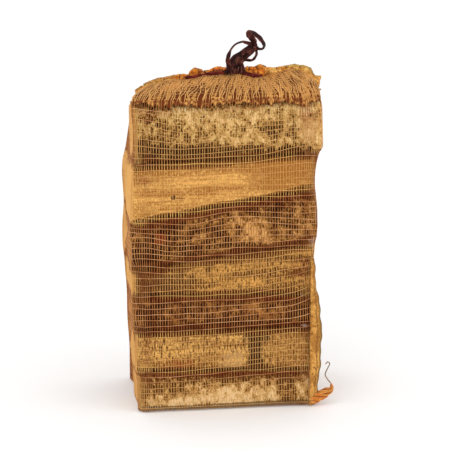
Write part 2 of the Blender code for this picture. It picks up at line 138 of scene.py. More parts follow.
class Wire:
    """An output of a material's node that Python sums can be written with."""

    def __init__(self, recipe: "Recipe", socket: bpy.types.NodeSocket) -> None:
        """Wraps a socket of a recipe's node."""
        self.recipe = recipe
        self.socket = socket

    def _maths(self, operation: str, first: Number, second: Number) -> "Wire":
        """Adds a Math node on two values."""
        return self.recipe.node("ShaderNodeMath", {"operation": operation}, {0: first, 1: second})

    def __add__(self, other: Number) -> "Wire":
        """Adds."""
        return self._maths("ADD", self, other)

    def __radd__(self, other: Number) -> "Wire":
        """Adds to a number."""
        return self._maths("ADD", other, self)

    def __sub__(self, other: Number) -> "Wire":
        """Subtracts."""
        return self._maths("SUBTRACT", self, other)

    def __rsub__(self, other: Number) -> "Wire":
        """Subtracts from a number."""
        return self._maths("SUBTRACT", other, self)

    def __mul__(self, other: Number) -> "Wire":
        """Multiplies."""
        return self._maths("MULTIPLY", self, other)

    def size(self) -> "Wire":
        """The value without its sign."""
        return self._maths("ABSOLUTE", self, 0.0)

    def larger(self, other: Number) -> "Wire":
        """The larger of two values."""
        return self._maths("MAXIMUM", self, other)

    def over(self, low: float, high: float) -> "Wire":
        """Rises smoothly from 0 at low to 1 at high."""
        return self.recipe.node(
            "ShaderNodeMapRange", {"interpolation_type": "SMOOTHSTEP"}, {0: self, 1: low, 2: high}
        )


class Recipe:
    """The nodes of one material."""

    def __init__(self, name: str, roughness: float) -> None:
        """Starts a material.

        Args:
            name: the material's name.
            roughness: how dull it is, from 0 to 1.
        """
        self.material = bpy.data.materials.new(name)
        self.material.use_nodes = True
        self.tree = self.material.node_tree
        self.shader = self.tree.nodes["Principled BSDF"]
        self.shader.inputs["Roughness"].default_value = roughness
        self.shader.inputs["Specular IOR Level"].default_value = 0.1
        self.place = self.node("ShaderNodeTexCoord", output="Object")

    def node(self, kind: str, settings: dict | None = None, values: dict | None = None,
             output: Union[int, str] = 0) -> Wire:
        """Adds a node.

        Args:
            kind: the node's type.
            settings: its settings.
            values: numbers, colours or wires for its sockets.
            output: which of its outputs to return.

        Returns:
            The output as a wire.
        """
        made = self.tree.nodes.new(kind)
        for name, setting in (settings or {}).items():
            setattr(made, name, setting)
        for name, value in (values or {}).items():
            self.plug(made.inputs[name], value)
        return Wire(self, made.outputs[output])

    def plug(self, socket: bpy.types.NodeSocket, value: Union[Number, Sequence[float]]) -> None:
        """Feeds a socket with a wire, a number, a vector or a colour."""
        if isinstance(value, Wire):
            self.tree.links.new(value.socket, socket)
        elif socket.type == "RGBA" and len(value) == 3:
            socket.default_value = (*value, 1.0)
        else:
            socket.default_value = value

    def attribute(self, name: str) -> Wire:
        """A number that the mesh carries."""
        return self.node("ShaderNodeAttribute", {"attribute_name": name}, output="Fac")

    def stretched(self, scale: Scale, offset: Sequence[float] = (0, 0, 0)) -> Wire:
        """The place on the object, moved by an offset and multiplied by a scale along each axis."""
        scales = tuple(float(part) for part in np.broadcast_to(scale, 3))
        moved = self.node("ShaderNodeVectorMath", {"operation": "ADD"}, {0: self.place, 1: tuple(offset)})
        return self.node("ShaderNodeVectorMath", {"operation": "MULTIPLY"}, {0: moved, 1: scales})

    def noise(self, scale: Scale, detail: float = 4.0, roughness: float = 0.55, distortion: float = 0.0,
              offset: Sequence[float] = (0, 0, 0)) -> Wire:
        """Noise over the object.

        Args:
            scale: how many grains it has to the metre, for all axes or for each.
            detail: how many finer grains lie in it.
            roughness: how strong those are.
            distortion: how far it is swirled.
            offset: where its pattern starts, in metres.

        Returns:
            A value from 0 to 1.
        """
        return self.node("ShaderNodeTexNoise", values={
            "Vector": self.stretched(scale, offset), "Scale": 1.0, "Detail": detail,
            "Roughness": roughness, "Distortion": distortion,
        })

    def axis(self, vector: Wire, name: str) -> Wire:
        """One coordinate of a vector: X, Y or Z."""
        return self.node("ShaderNodeSeparateXYZ", values={0: vector}, output=name)

    def length(self, vector: Wire) -> Wire:
        """How long a vector is."""
        return self.node("ShaderNodeVectorMath", {"operation": "LENGTH"}, {0: vector}, "Value")

    def layered(self, colour: Union[Wire, Colour], *layers: tuple[Number, Union[Wire, Colour]]) -> Wire:
        """Lays colours over another one, each of them by its share from 0 to 1."""
        for share, upper in layers:
            colour = self.node("ShaderNodeMix", {"data_type": "RGBA"}, {0: share, 6: colour, 7: upper}, 2)
        return colour

    def finish(self, colour: Wire, height: Wire | None = None, depth: float = 0.0) -> bpy.types.Material:
        """Plugs the finished colour and relief into the shader.

        Args:
            colour: the base colour.
            height: the relief, from 0 to 1.
            depth: how deep the relief is in metres.

        Returns:
            The material.
        """
        self.plug(self.shader.inputs["Base Color"], colour)
        if height is not None:
            bump = self.node("ShaderNodeBump", values={"Strength": 1.0, "Distance": depth, "Height": height})
            self.plug(self.shader.inputs["Normal"], bump)
        return self.material


def deselect() -> None:
    """Leaves nothing selected."""
    bpy.ops.object.select_all(action="DESELECT")


def face_outwards(obj: bpy.types.Object) -> None:
    """Turns the faces of a closed mesh outwards."""
    shape = bmesh.new()
    shape.from_mesh(obj.data)
    bmesh.ops.recalc_face_normals(shape, faces=shape.faces)
    shape.to_mesh(obj.data)
    shape.free()


def add_marks(obj: bpy.types.Object, name: str, values: np.ndarray) -> None:
    """Stores one number for each point of a mesh."""
    marks = obj.data.attributes.new(name, "FLOAT", "POINT")
    marks.data.foreach_set("value", np.asarray(values, dtype=np.float32).ravel())


def add_mesh(name: str, points: Sequence, faces: Sequence, material: bpy.types.Material,
             marks: dict[str, Sequence] | None = None, smooth: float | None = None,
             outwards: bool = True) -> bpy.types.Object:
    """Makes a piece from points and faces.

    Args:
        name: the piece's name.
        points: the places of its points.
        faces: the corners of its faces.
        material: its finish.
        marks: the numbers that its points carry for its material.
        smooth: the largest angle in degrees that is shaded smooth, or all of them.
        outwards: whether its faces are turned outwards.

    Returns:
        The piece, riding on the bundle.
    """
    mesh = bpy.data.meshes.new(name)
    mesh.from_pydata(np.asarray(points), [], faces)
    mesh.validate()
    mesh.materials.append(material)
    mesh.shade_smooth()
    if smooth is not None:
        mesh.set_sharp_from_angle(angle=math.radians(smooth))
    obj = bpy.data.objects.new(name, mesh)
    bpy.context.scene.collection.objects.link(obj)
    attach(obj, BODY)
    for mark, values in (marks or {}).items():
        add_marks(obj, mark, values)
    if outwards:
        face_outwards(obj)
    log.info("%s: %d faces", name, len(faces))
    return obj


def ring_faces(rings: int, sides: int, looped: bool = False) -> list[list[int]]:
    """The faces between rings of points.

    Args:
        rings: how many rings there are.
        sides: how many points each has.
        looped: whether the last ring leads back to the first. If not, a face closes each end.

    Returns:
        The corners of the faces.
    """
    ring = np.arange(rings if looped else rings - 1)[:, None] * sides
    following = (ring + sides) % (rings * sides)
    side = np.arange(sides)
    after = (side + 1) % sides
    corners = (ring + side, ring + after, following + after, following + side)
    faces = np.stack(corners, axis=-1).reshape(-1, 4).tolist()
    if not looped:
        last = (rings - 1) * sides
        faces += [list(range(sides))[::-1], list(range(last, last + sides))]
    return faces


def surface_of(names: Sequence[str]) -> BVHTree:
    """One tree of the surfaces of several solids."""
    points, faces = [], []
    for name in names:
        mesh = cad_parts[name].data
        first = len(points)
        points += [vertex.co.copy() for vertex in mesh.vertices]
        faces += [[first + i for i in polygon.vertices] for polygon in mesh.polygons]
    return BVHTree.FromPolygons(points, faces)


class Bundle:
    """Strands of flat yarn that become one mesh."""

    def __init__(self) -> None:
        """Starts with no strand."""
        self.points: list[np.ndarray] = []
        self.faces: list[np.ndarray] = []
        self.marks: dict[str, list[np.ndarray]] = {"tone": [], "kind": [], "backing": [], "behind": []}
        self.count = 0
        self.area = 0.0

    def add(self, line: np.ndarray, outward: np.ndarray, width: Amount, thickness: Amount, tone: Amount,
            kind: Amount = 0.0, backing: Amount = 0.5, behind: Amount = -1) -> None:
        """Adds one strand.

        Args:
            line: the points of its middle.
            outward: at each of them, the direction away from the logs.
            width: its width along the cloth.
            thickness: its thickness across the cloth.
            tone: its shade, from 0 to 1.
            kind: 0 for an upright strand and 1 for one that crosses them; a share between gives an upright
                strand some of the crossing colour as painted highlight.
            backing: how pale what lies behind the translucent yarn is, from 0 to 1.
            behind: the number of the log that it lies over, or -1.
        """
        self.area += float(np.mean(width) * np.linalg.norm(np.diff(line, axis=0), axis=1).sum())
        along = np.gradient(line, axis=0)
        along /= np.linalg.norm(along, axis=1, keepdims=True) + TINY
        side = np.cross(along, outward)
        side /= np.linalg.norm(side, axis=1, keepdims=True) + TINY
        wide = side * np.reshape(width, (-1, 1)) / 2
        thick = np.cross(side, along) * np.reshape(thickness, (-1, 1)) / 2
        rings = np.stack([line + wide, line + thick, line - wide, line - thick], axis=1)
        self.points.append(rings.reshape(-1, 3))
        self.faces.append(np.array(ring_faces(len(line), 4)) + self.count)
        for name, value in (("tone", tone), ("kind", kind), ("backing", backing), ("behind", behind)):
            self.marks[name].append(np.repeat(np.broadcast_to(value, len(line)), 4))
        self.count += 4 * len(line)

    def build(self, name: str, material: bpy.types.Material, slot: str,
              shown: Sequence[int] = ()) -> bpy.types.Object:
        """Makes the mesh of all strands so far.

        Args:
            name: the piece's name.
            material: its finish.
            slot: what it is made of; not used.
            shown: the numbers of the logs that show through it, whose places are marked.

        Returns:
            The piece.
        """
        marks = {mark: np.concatenate(values) for mark, values in self.marks.items()}
        behind = marks.pop("behind")
        marks |= {f"over_{number}": behind == number for number in shown}
        faces = np.concatenate(self.faces).tolist()
        return add_mesh(name, np.concatenate(self.points), faces, material, marks, outwards=False)


@dataclass
class Studio:
    """The floor, the light and the camera. A lamp has a place, a size and a power."""

    azimuth: float = -9.0
    elevation: float = 11.0
    distance: float = 2.2
    aim: Vector = field(default_factory=lambda: at(0, 0, 205))
    image: int = 450
    metres_per_pixel: float = 1.377e-3
    middle: tuple[float, float] = (217.0, 247.0)
    sensor: float = 36.0
    floor_size: float = 14.0
    sky: float = 1.04
    lamps: tuple = (((-1.2, -2.2, 2.2), 1.6, 15.0), ((1.8, -1.6, 1.2), 1.8, 7.5))
    lit: tuple[float, float, float] = (0, 0, 0.22)

    def build(self) -> None:
        """Makes everything that isn't the bundle."""
        self.add_camera()
        self.add_floor()
        self.add_lights()

    def add_camera(self) -> None:
        """Puts the camera where the photograph was taken from."""
        a, e = math.radians(self.azimuth), math.radians(self.elevation)
        back = Vector((math.sin(a) * math.cos(e), -math.cos(a) * math.cos(e), math.sin(e)))
        bpy.ops.object.camera_add(location=self.aim + back * self.distance)
        camera = bpy.context.object
        camera.rotation_euler = back.to_track_quat("Z", "Y").to_euler()
        camera.data.sensor_width = self.sensor
        camera.data.lens = self.sensor * self.distance / (self.image * self.metres_per_pixel)
        camera.data.shift_x = (self.image / 2 - self.middle[0]) / self.image
        camera.data.shift_y = (self.middle[1] - self.image / 2) / self.image
        camera.data.clip_end = 50.0
        bpy.context.scene.camera = camera

    def add_floor(self) -> None:
        """Lays a pale floor."""
        bpy.ops.mesh.primitive_plane_add(size=self.floor_size, location=(0, 0, 0))
        floor = bpy.context.object
        floor.name = "floor"
        recipe = Recipe("floor", 0.9)
        colour = recipe.layered((0.96, 0.96, 0.96), (recipe.noise(3), (0.98, 0.98, 0.98)))
        floor.data.materials.append(recipe.finish(colour))

    def add_lights(self) -> None:
        """Lights the bundle softly from all round, and more from the upper left in front."""
        world = bpy.data.worlds.new("studio")
        bpy.context.scene.world = world
        world.use_nodes = True
        sky = world.node_tree.nodes["Background"]
        sky.inputs["Color"].default_value = (1, 1, 1, 1)
        sky.inputs["Strength"].default_value = self.sky
        for place, size, power in self.lamps:
            bpy.ops.object.light_add(type="AREA", location=place)
            lamp = bpy.context.object
            lamp.data.energy = power
            lamp.data.size = size
            lamp.rotation_euler = (Vector(place) - Vector(self.lit)).to_track_quat("Z", "Y").to_euler()
        bpy.context.scene.view_settings.view_transform = "Standard"


@dataclass
class SeamThread:
    """The loose end of the thread that sews the side seam: three twisted plies."""

    radius: float = 0.8 * MM
    plies: int = 3
    ply_depth: float = 0.16
    sides: int = 12
    steps: int = 16
    turn: float = 5.0 * MM
    route: tuple = (
        (140.8, -93, 31.2), (137, -93, 36), (133.6, -93, 42), (134.6, -93, 47.5),
        (137.4, -93, 53), (139.4, -93, 58), (136.8, -93, 60.6), (133.6, -93, 57.6),
    )

    def finish(self) -> bpy.types.Material:
        """Dull grey-brown thread, paler where it is worn."""
        recipe = Recipe("thread", 0.85)
        fine = recipe.noise(900)
        colour = recipe.layered(
            srgb(122, 92, 62),
            (recipe.noise(90).over(0.4, 0.65), srgb(168, 140, 112)),
            (fine.over(0.45, 0.75) * 0.5, srgb(84, 60, 40)),
        )
        return recipe.finish(colour, fine, 0.2 * MM)

    def build(self) -> None:
        path = smooth_line([at(*point) for point in self.route], self.steps)
        points, length, before = [], 0.0, path[0]
        for place, ahead, across in walk(path):
            upward = ahead.cross(across)
            length += (place - before).length
            before = place
            twist = math.tau * length / self.turn
            for angle in angles(self.sides):
                lobe = 1 - self.ply_depth + self.ply_depth * math.cos(self.plies * (angle - twist))
                spoke = across * math.cos(angle) + upward * math.sin(angle)
                points.append(place + spoke * self.radius * lobe)
        faces = ring_faces(len(path), self.sides)
        thread = add_mesh("loose_thread", points, faces, self.finish(), smooth=60)
        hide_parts("seam_thread")
        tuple(path[0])
        log.info("loose thread: %.1f mm long", length / MM)


class Face(Enum):
    """Which corners of a log's cross-section its bark lies between, as depth and height shares.

    A log's bark runs from its first corner, by way of the middle one, to its last corner.
    """

    CREST = ((0.03, 0.0), (0.0, 0.8), (0.3, 1.0))
    SECTOR = ((0.09, 0.0), (-0.11, 0.5), (0.11, 1.0))
    ROOF = ((0.0, 0.72), (0.48, 1.3), (1.0, 0.78))
    HALF = ((0.0, 0.5), (0.25, 1.2), (0.98, 0.0))
    SLAB = ((0.82, 0.96), (1.12, 0.52), (0.86, 0.08))
    WEDGE = ((0.93, 0.72), (1.08, 0.42), (0.9, 0.12))
    BLOCK = ((0.02, 1.0), (0.98, 1.02), (1.0, 0.3))
    FOOT = ((0.06, 0.0), (-0.07, 0.5), (0.09, 1.0))


@dataclass(frozen=True)
class Mark:
    """A place on the front: its middle and its reach along x and z in millimetres."""

    x: float
    z: float
    reach_x: float
    reach_z: float


@dataclass(frozen=True)
class Patch(Mark):
    """A patch of another colour on a log.

    A broken patch dissolves into flecks, and a boxy one has straight sides.
    """

    colour: Colour
    strength: float = 1.0
    broken: float = 0.3
    boxy: bool = False


@dataclass(frozen=True)
class Lift(Mark):
    """Where bark is paler, or darker by a negative amount."""

    amount: float


@dataclass(frozen=True)
class Pull(Mark):
    """Where the cloth is drawn up, or down by a negative shift in millimetres."""

    shift: float


@dataclass(frozen=True)
class BarkFinish:
    """Birch bark: its tones from dark to pale, and how much of it is papery and how cloudy it is."""

    dark: Colour
    middle: Colour
    light: Colour
    pale: Colour
    papery: float = 0.5
    cloudy: float = 0.5


@dataclass(frozen=True)
class WoodFinish:
    """Split wood: its pale and deep tones, and how strong its grain, its splinters and its painted strand
    shadows are.
    """

    pale: Colour
    deep: Colour
    grain: float = 0.5
    splinters: float = 0.5
    strand_shadows: float = 0.0


WHITE_BARK = BarkFinish(
    srgb(88, 50, 20), srgb(158, 108, 50), srgb(216, 172, 104), srgb(244, 212, 158), 0.63, 0.35,
)
CREAM_BARK = BarkFinish(
    srgb(58, 32, 12), srgb(132, 90, 42), srgb(206, 164, 94), srgb(244, 210, 148), 0.59, 0.5,
)
DARK_BARK = BarkFinish(
    srgb(46, 20, 8), srgb(86, 50, 20), srgb(158, 108, 50), srgb(228, 174, 102), 0.42, 0.65,
)
BLACK_BARK = BarkFinish(
    srgb(52, 22, 10), srgb(84, 48, 22), srgb(140, 90, 42), srgb(184, 126, 62), 0.42, 0.7,
)
PALE_WOOD = WoodFinish(srgb(250, 198, 112), srgb(172, 110, 48), 0.85, 0.8)
STRAND_SHADOWED_WOOD = WoodFinish(srgb(246, 194, 108), srgb(144, 90, 40), 0.7, 1.0, 1.0)
TAN_WOOD = WoodFinish(srgb(232, 174, 88), srgb(110, 64, 26), 0.9, 1.0, 0.9)
BROWN_WOOD = WoodFinish(srgb(140, 94, 48), srgb(80, 48, 24), 0.7, 0.8)
# Painted shade of the gaps between logs, laid along their upper and lower edges.
GAP_SHADE = srgb(92, 34, 10)


@dataclass(frozen=True)
class LogLook:
    """What one log looks like."""

    node: str
    name: str
    face: Face
    bark: BarkFinish
    wood: WoodFinish
    turned: bool = False
    patches: tuple[Patch, ...] = ()
    lifts: tuple[Lift, ...] = ()

    @property
    def split(self) -> bool:
        """Whether the side that presses on the net is split wood."""
        return self.face in (Face.SLAB, Face.WEDGE, Face.BLOCK)

    def paleness(self) -> float:
        """How pale the side is that presses on the net, from 0 to 1."""
        if self.split:
            return 1.0 if self.wood is PALE_WOOD else 0.85
        return {WHITE_BARK: 0.75, CREAM_BARK: 0.75, DARK_BARK: 0.1, BLACK_BARK: 0.0}[self.bark]


LOG_LOOKS = (
    LogLook("log_front_1", "top_birch_log", Face.CREST, CREAM_BARK, TAN_WOOD, False, (
        Patch(109, 380, 14, 24, srgb(200, 144, 88), 0.5, 0.8),
        Patch(88, 376, 1.8, 17, srgb(76, 40, 22), 0.85, 0.3, True),
    ), (
        Lift(-88, 362, 48, 20, -0.12), Lift(0, 346, 150, 15, -0.24), Lift(57, 380, 21, 13, -0.14),
        Lift(-114, 396, 26, 24, -0.06), Lift(-20, 396, 60, 14, 0.06), Lift(107, 382, 18, 26, 0.03),
    )),
    LogLook("log_front_2", "pale_split_log", Face.SLAB, CREAM_BARK, PALE_WOOD, False, (
        Patch(85, 326, 66, 34, srgb(168, 106, 44), 0.5, 0.35),
        Patch(-50, 329, 70, 3, srgb(130, 80, 36), 0.6, 0.5),
        Patch(-72, 290, 3.4, 3.4, srgb(70, 34, 18), 0.95, 0.2),
        Patch(-64, 289, 7, 1.2, srgb(96, 50, 24), 0.8, 0.2),
        Patch(-100, 312, 26, 12, srgb(150, 98, 46), 0.3, 0.8),
    )),
    LogLook("log_front_3", "dark_bark_log", Face.SECTOR, DARK_BARK, BROWN_WOOD, False, (
        Patch(-90, 236, 9, 7, srgb(130, 50, 22), 0.85, 0.3),
    ), (
        Lift(34, 250, 42, 26, 0.15), Lift(64, 230, 28, 20, 0.13), Lift(100, 262, 26, 26, 0.09),
        Lift(-10, 222, 24, 14, 0.06), Lift(-100, 222, 34, 30, -0.05),
    )),
    LogLook("log_front_4", "thin_split_log", Face.WEDGE, DARK_BARK, TAN_WOOD, False, (
        Patch(-92, 178, 46, 20, srgb(80, 44, 22), 0.85, 0.6),
    )),
    LogLook("log_front_5", "black_bark_log", Face.SECTOR, BLACK_BARK, BROWN_WOOD, False, (), (
        # The lifts at z 114 and 157 darken the log's lower and upper edge: painted shade of the gaps next to
        # the logs below and above.
        Lift(24, 139, 70, 13, 0.09), Lift(-80, 135, 30, 12, 0.05), Lift(0, 114, 150, 6, -0.16),
        Lift(0, 157, 150, 6, -0.16), Lift(108, 138, 20, 24, -0.06),
    )),
    LogLook("log_front_6", "tan_split_log", Face.BLOCK, DARK_BARK, STRAND_SHADOWED_WOOD, False, (
        Patch(92, 84, 34, 40, srgb(150, 98, 48), 0.3, 0.7),
        Patch(-66, 64, 20, 8, srgb(150, 70, 32), 0.6, 0.95),
        Patch(8, 66, 18, 13, srgb(228, 182, 116), 0.55, 0.4),
        Patch(39, 98, 18, 13, srgb(54, 27, 13), 0.9, 0.35),
        Patch(37, 82, 9, 30, srgb(54, 27, 13), 0.95, 0.25),
        Patch(40, 62, 14, 9, srgb(54, 27, 13), 0.9, 0.4),
    )),
    LogLook("log_front_7", "white_bark_log", Face.FOOT, WHITE_BARK, TAN_WOOD, False, (
        Patch(0, 3.5, 150, 4, srgb(198, 148, 84), 0.7, 0.3),
    ), (
        Lift(0, 52, 160, 19, -0.22), Lift(-90, 32, 44, 14, -0.16), Lift(81, 26, 15, 30, -0.26),
        Lift(-118, 20, 14, 30, -0.12), Lift(12, 16, 54, 13, 0.07), Lift(-70, 12, 44, 8, 0.05),
    )),
    LogLook("log_back_1", "back_roof_log", Face.ROOF, DARK_BARK, TAN_WOOD, True),
    LogLook("log_back_2", "back_half_log", Face.HALF, CREAM_BARK, PALE_WOOD, True),
    LogLook("log_back_3", "back_sector_log", Face.SECTOR, WHITE_BARK, TAN_WOOD, True),
    LogLook("log_back_4", "back_block_log", Face.BLOCK, DARK_BARK, PALE_WOOD, True),
    LogLook("log_back_5", "back_dark_log", Face.SECTOR, DARK_BARK, BROWN_WOOD, True),
    LogLook("log_back_6", "back_foot_log", Face.FOOT, CREAM_BARK, TAN_WOOD, True),
)


@dataclass
class LogBlank:
    """A turned round blank along X, from which every log's mesh is copied."""

    around: int = 150
    along: int = 112
    cap_rings: int = 7

    def build(self) -> bpy.types.Object:
        """Adds a cylinder of radius and length 1, cuts it across and insets its ends."""
        deselect()
        bpy.ops.mesh.primitive_cylinder_add(
            vertices=self.around, radius=1.0, depth=1.0, end_fill_type="NGON",
            rotation=(0, math.pi / 2, 0),
        )
        blank = bpy.context.object
        bpy.ops.object.transform_apply(rotation=True)
        bpy.ops.object.mode_set(mode="EDIT")
        bpy.ops.mesh.select_mode(type="EDGE")
        bpy.ops.mesh.select_all(action="DESELECT")
        bpy.ops.object.mode_set(mode="OBJECT")
        for edge in blank.data.edges:
            ends = [blank.data.vertices[i].co.x for i in edge.vertices]
            edge.select = abs(ends[0] - ends[1]) > 0.5
        bpy.ops.object.mode_set(mode="EDIT")
        bpy.ops.mesh.subdivide(number_cuts=self.along - 1)
        bpy.ops.mesh.select_mode(type="FACE")
        bpy.ops.mesh.select_all(action="DESELECT")
        bpy.ops.object.mode_set(mode="OBJECT")
        for polygon in blank.data.polygons:
            polygon.select = len(polygon.vertices) > 4
        bpy.ops.object.mode_set(mode="EDIT")
        for _ in range(self.cap_rings):
            bpy.ops.mesh.inset(thickness=0.94 / self.cap_rings, use_even_offset=True)
        bpy.ops.mesh.poke()
        bpy.ops.object.mode_set(mode="OBJECT")
        return blank


@dataclass(frozen=True)
class LogPaint:
    """The colours and fine relief of one log, as nodes of a recipe."""

    recipe: Recipe
    number: int
    pith: tuple[float, float] = (-0.03, 0.02)
    ring_rate: float = 1900
    front_plane: float = -97
    mark_reach: float = 60 * MM
    end_wobble: float = 0.004

    @property
    def look(self) -> LogLook:
        """What the log looks like."""
        return LOG_LOOKS[self.number]

    @property
    def shift(self) -> tuple[float, float, float]:
        """Where the log's patterns start, in metres."""
        return self.number * 0.37, self.number * 0.19, self.number * 0.53

    def noise(self, scale: Scale, detail: float = 4.0, roughness: float = 0.55,
              distortion: float = 0.0) -> Wire:
        """Noise that differs from log to log."""
        return self.recipe.noise(scale, detail, roughness, distortion, self.shift)

    def material(self, middle: np.ndarray) -> bpy.types.Material:
        """Bark, split wood and sawn ends in one material.

        Args:
            middle: the middle of a sawn end.

        Returns:
            The material.
        """
        recipe = self.recipe
        wood, fibre = self.wood()
        bark, plates = self.bark()
        edge = self.noise(160) - 0.5
        cover = (recipe.attribute("bark") + edge * 0.5).over(0.4, 0.6)
        # Painted shade of the gaps between logs, along the log's upper and lower edges.
        gap_shade = (recipe.attribute("gap_shade") + edge * 1.2).over(0.35, 0.8) * 0.8
        colour = recipe.layered(
            self.patched(recipe.layered(wood, (cover, bark))),
            (gap_shade, GAP_SHADE),
            (recipe.attribute("sawn") * (1 - cover), self.end_grain(middle)),
        )
        return recipe.finish(colour, fibre * (1 - cover) + plates * cover, 0.9 * MM)

    def front(self) -> Wire:
        """The colour of the side that faces the net, without the painted gap shade along its edges and
        without its ends.
        """
        colour, _ = self.wood() if self.look.split else self.bark()
        return self.patched(colour)

    def wood(self) -> tuple[Wire, Wire]:
        """Split wood's colour and relief, with its grain along X, small torn splinters and short dark upright
        ticks that are painted shadows of the net's strands.
        """
        wood = self.look.wood
        fibre = self.noise((22, 420, 420), 4, 0.6)
        streak = self.noise((6, 95, 95), 3, 0.5)
        cloud = self.noise((20, 30, 30), 2)
        fleck = self.noise((330, 300, 300), 3, 0.65)
        # Short dark upright ticks: painted shadows of the net's strands on the wood.
        strand_shadow = self.noise((460, 300, 120), 2, 0.5)
        share = (streak.over(0.38, 0.64) * wood.grain + fibre.over(0.42, 0.68) * 0.7 * wood.grain
                 + cloud.over(0.4, 0.75) * 0.35)
        torn = tuple(min(1.0, part * 1.18 + 0.02) for part in wood.pale)
        strand_shadow_colour = tuple(part * 0.55 for part in wood.deep)
        colour = self.recipe.layered(
            wood.pale,
            (share, wood.deep),
            (fleck.over(0.53, 0.62) * wood.splinters * 0.75, wood.deep),
            ((1 - fleck.over(0.38, 0.46)) * wood.splinters * 0.7, torn),
            (strand_shadow.over(0.53, 0.58) * wood.strand_shadows, strand_shadow_colour),
        )
        return colour, fibre * 0.6 + streak * 0.4

    def bark(self) -> tuple[Wire, Wire]:
        """Birch bark's colour and relief: papery blotches, dark specks and pores round the log."""
        bark = self.look.bark
        cloud = self.noise((26, 40, 40), 3, 0.5)
        blotch = self.noise((125, 120, 100), 5, 0.7, 0.4)
        speck = self.noise((520, 430, 340), 3, 0.6)
        pore = self.noise((620, 120, 120), 2, 0.5)
        value = (blotch * 1.25 - 0.125 + (speck - 0.5) * 0.55 + (cloud - 0.5) * bark.cloudy
                 + (bark.papery - 0.5) * 0.7)
        for lift in self.look.lifts:
            value = value + (1 - self.distance(lift).over(0.35, 1.3)) * lift.amount
        colour = self.recipe.layered(
            bark.dark,
            (value.over(0.39, 0.47), bark.middle),
            (value.over(0.48, 0.55), bark.light),
            (value.over(0.60, 0.70), bark.pale),
            (pore.over(0.61, 0.69) * 0.7, bark.dark),
        )
        return colour, blotch * 0.5 + speck * 0.5

    def distance(self, mark: Mark, boxy: bool = False) -> Wire:
        """How far a place is from the middle of a mark, in shares of its reach."""
        scale = (1 / (mark.reach_x * MM), 1 / self.mark_reach, 1 / (mark.reach_z * MM))
        spot = self.recipe.stretched(scale, -at(mark.x, self.front_plane, mark.z))
        if boxy:
            return self.recipe.axis(spot, "X").size().larger(self.recipe.axis(spot, "Z").size())
        return self.recipe.length(spot)

    def patched(self, colour: Wire) -> Wire:
        """Paints the log's patches over a colour."""
        for patch in self.look.patches:
            away = self.distance(patch, patch.boxy)
            flecks = self.recipe.noise((190, 170, 130), 4, 0.65, offset=self.shift[::-1]) - 0.5
            value = (1 - away) * 1.5 * (1 - 0.5 * patch.broken) + flecks * (1 + 7 * patch.broken)
            share = value.over(-0.12, 0.18) * (1 - away.over(0.95, 1.5)) * patch.strength
            colour = self.recipe.layered(colour, (share, patch.colour))
        return colour

    def end_grain(self, middle: np.ndarray) -> Wire:
        """The year rings of a sawn end, round a pith that lies off its middle."""
        recipe, wood = self.recipe, self.look.wood
        spot = recipe.stretched((0, 1, 1), (0.0, self.pith[0] - middle[1], self.pith[1] - middle[2]))
        away = recipe.length(spot) + recipe.noise(60, 3) * self.end_wobble
        ring = recipe.node("ShaderNodeMath", {"operation": "SINE"}, {0: away * self.ring_rate})
        saw = recipe.noise((40, 60, 900), 3)
        return recipe.layered(wood.pale, (ring.over(0.1, 1.0) * 0.4 + saw.over(0.4, 0.7) * 0.35, wood.deep))


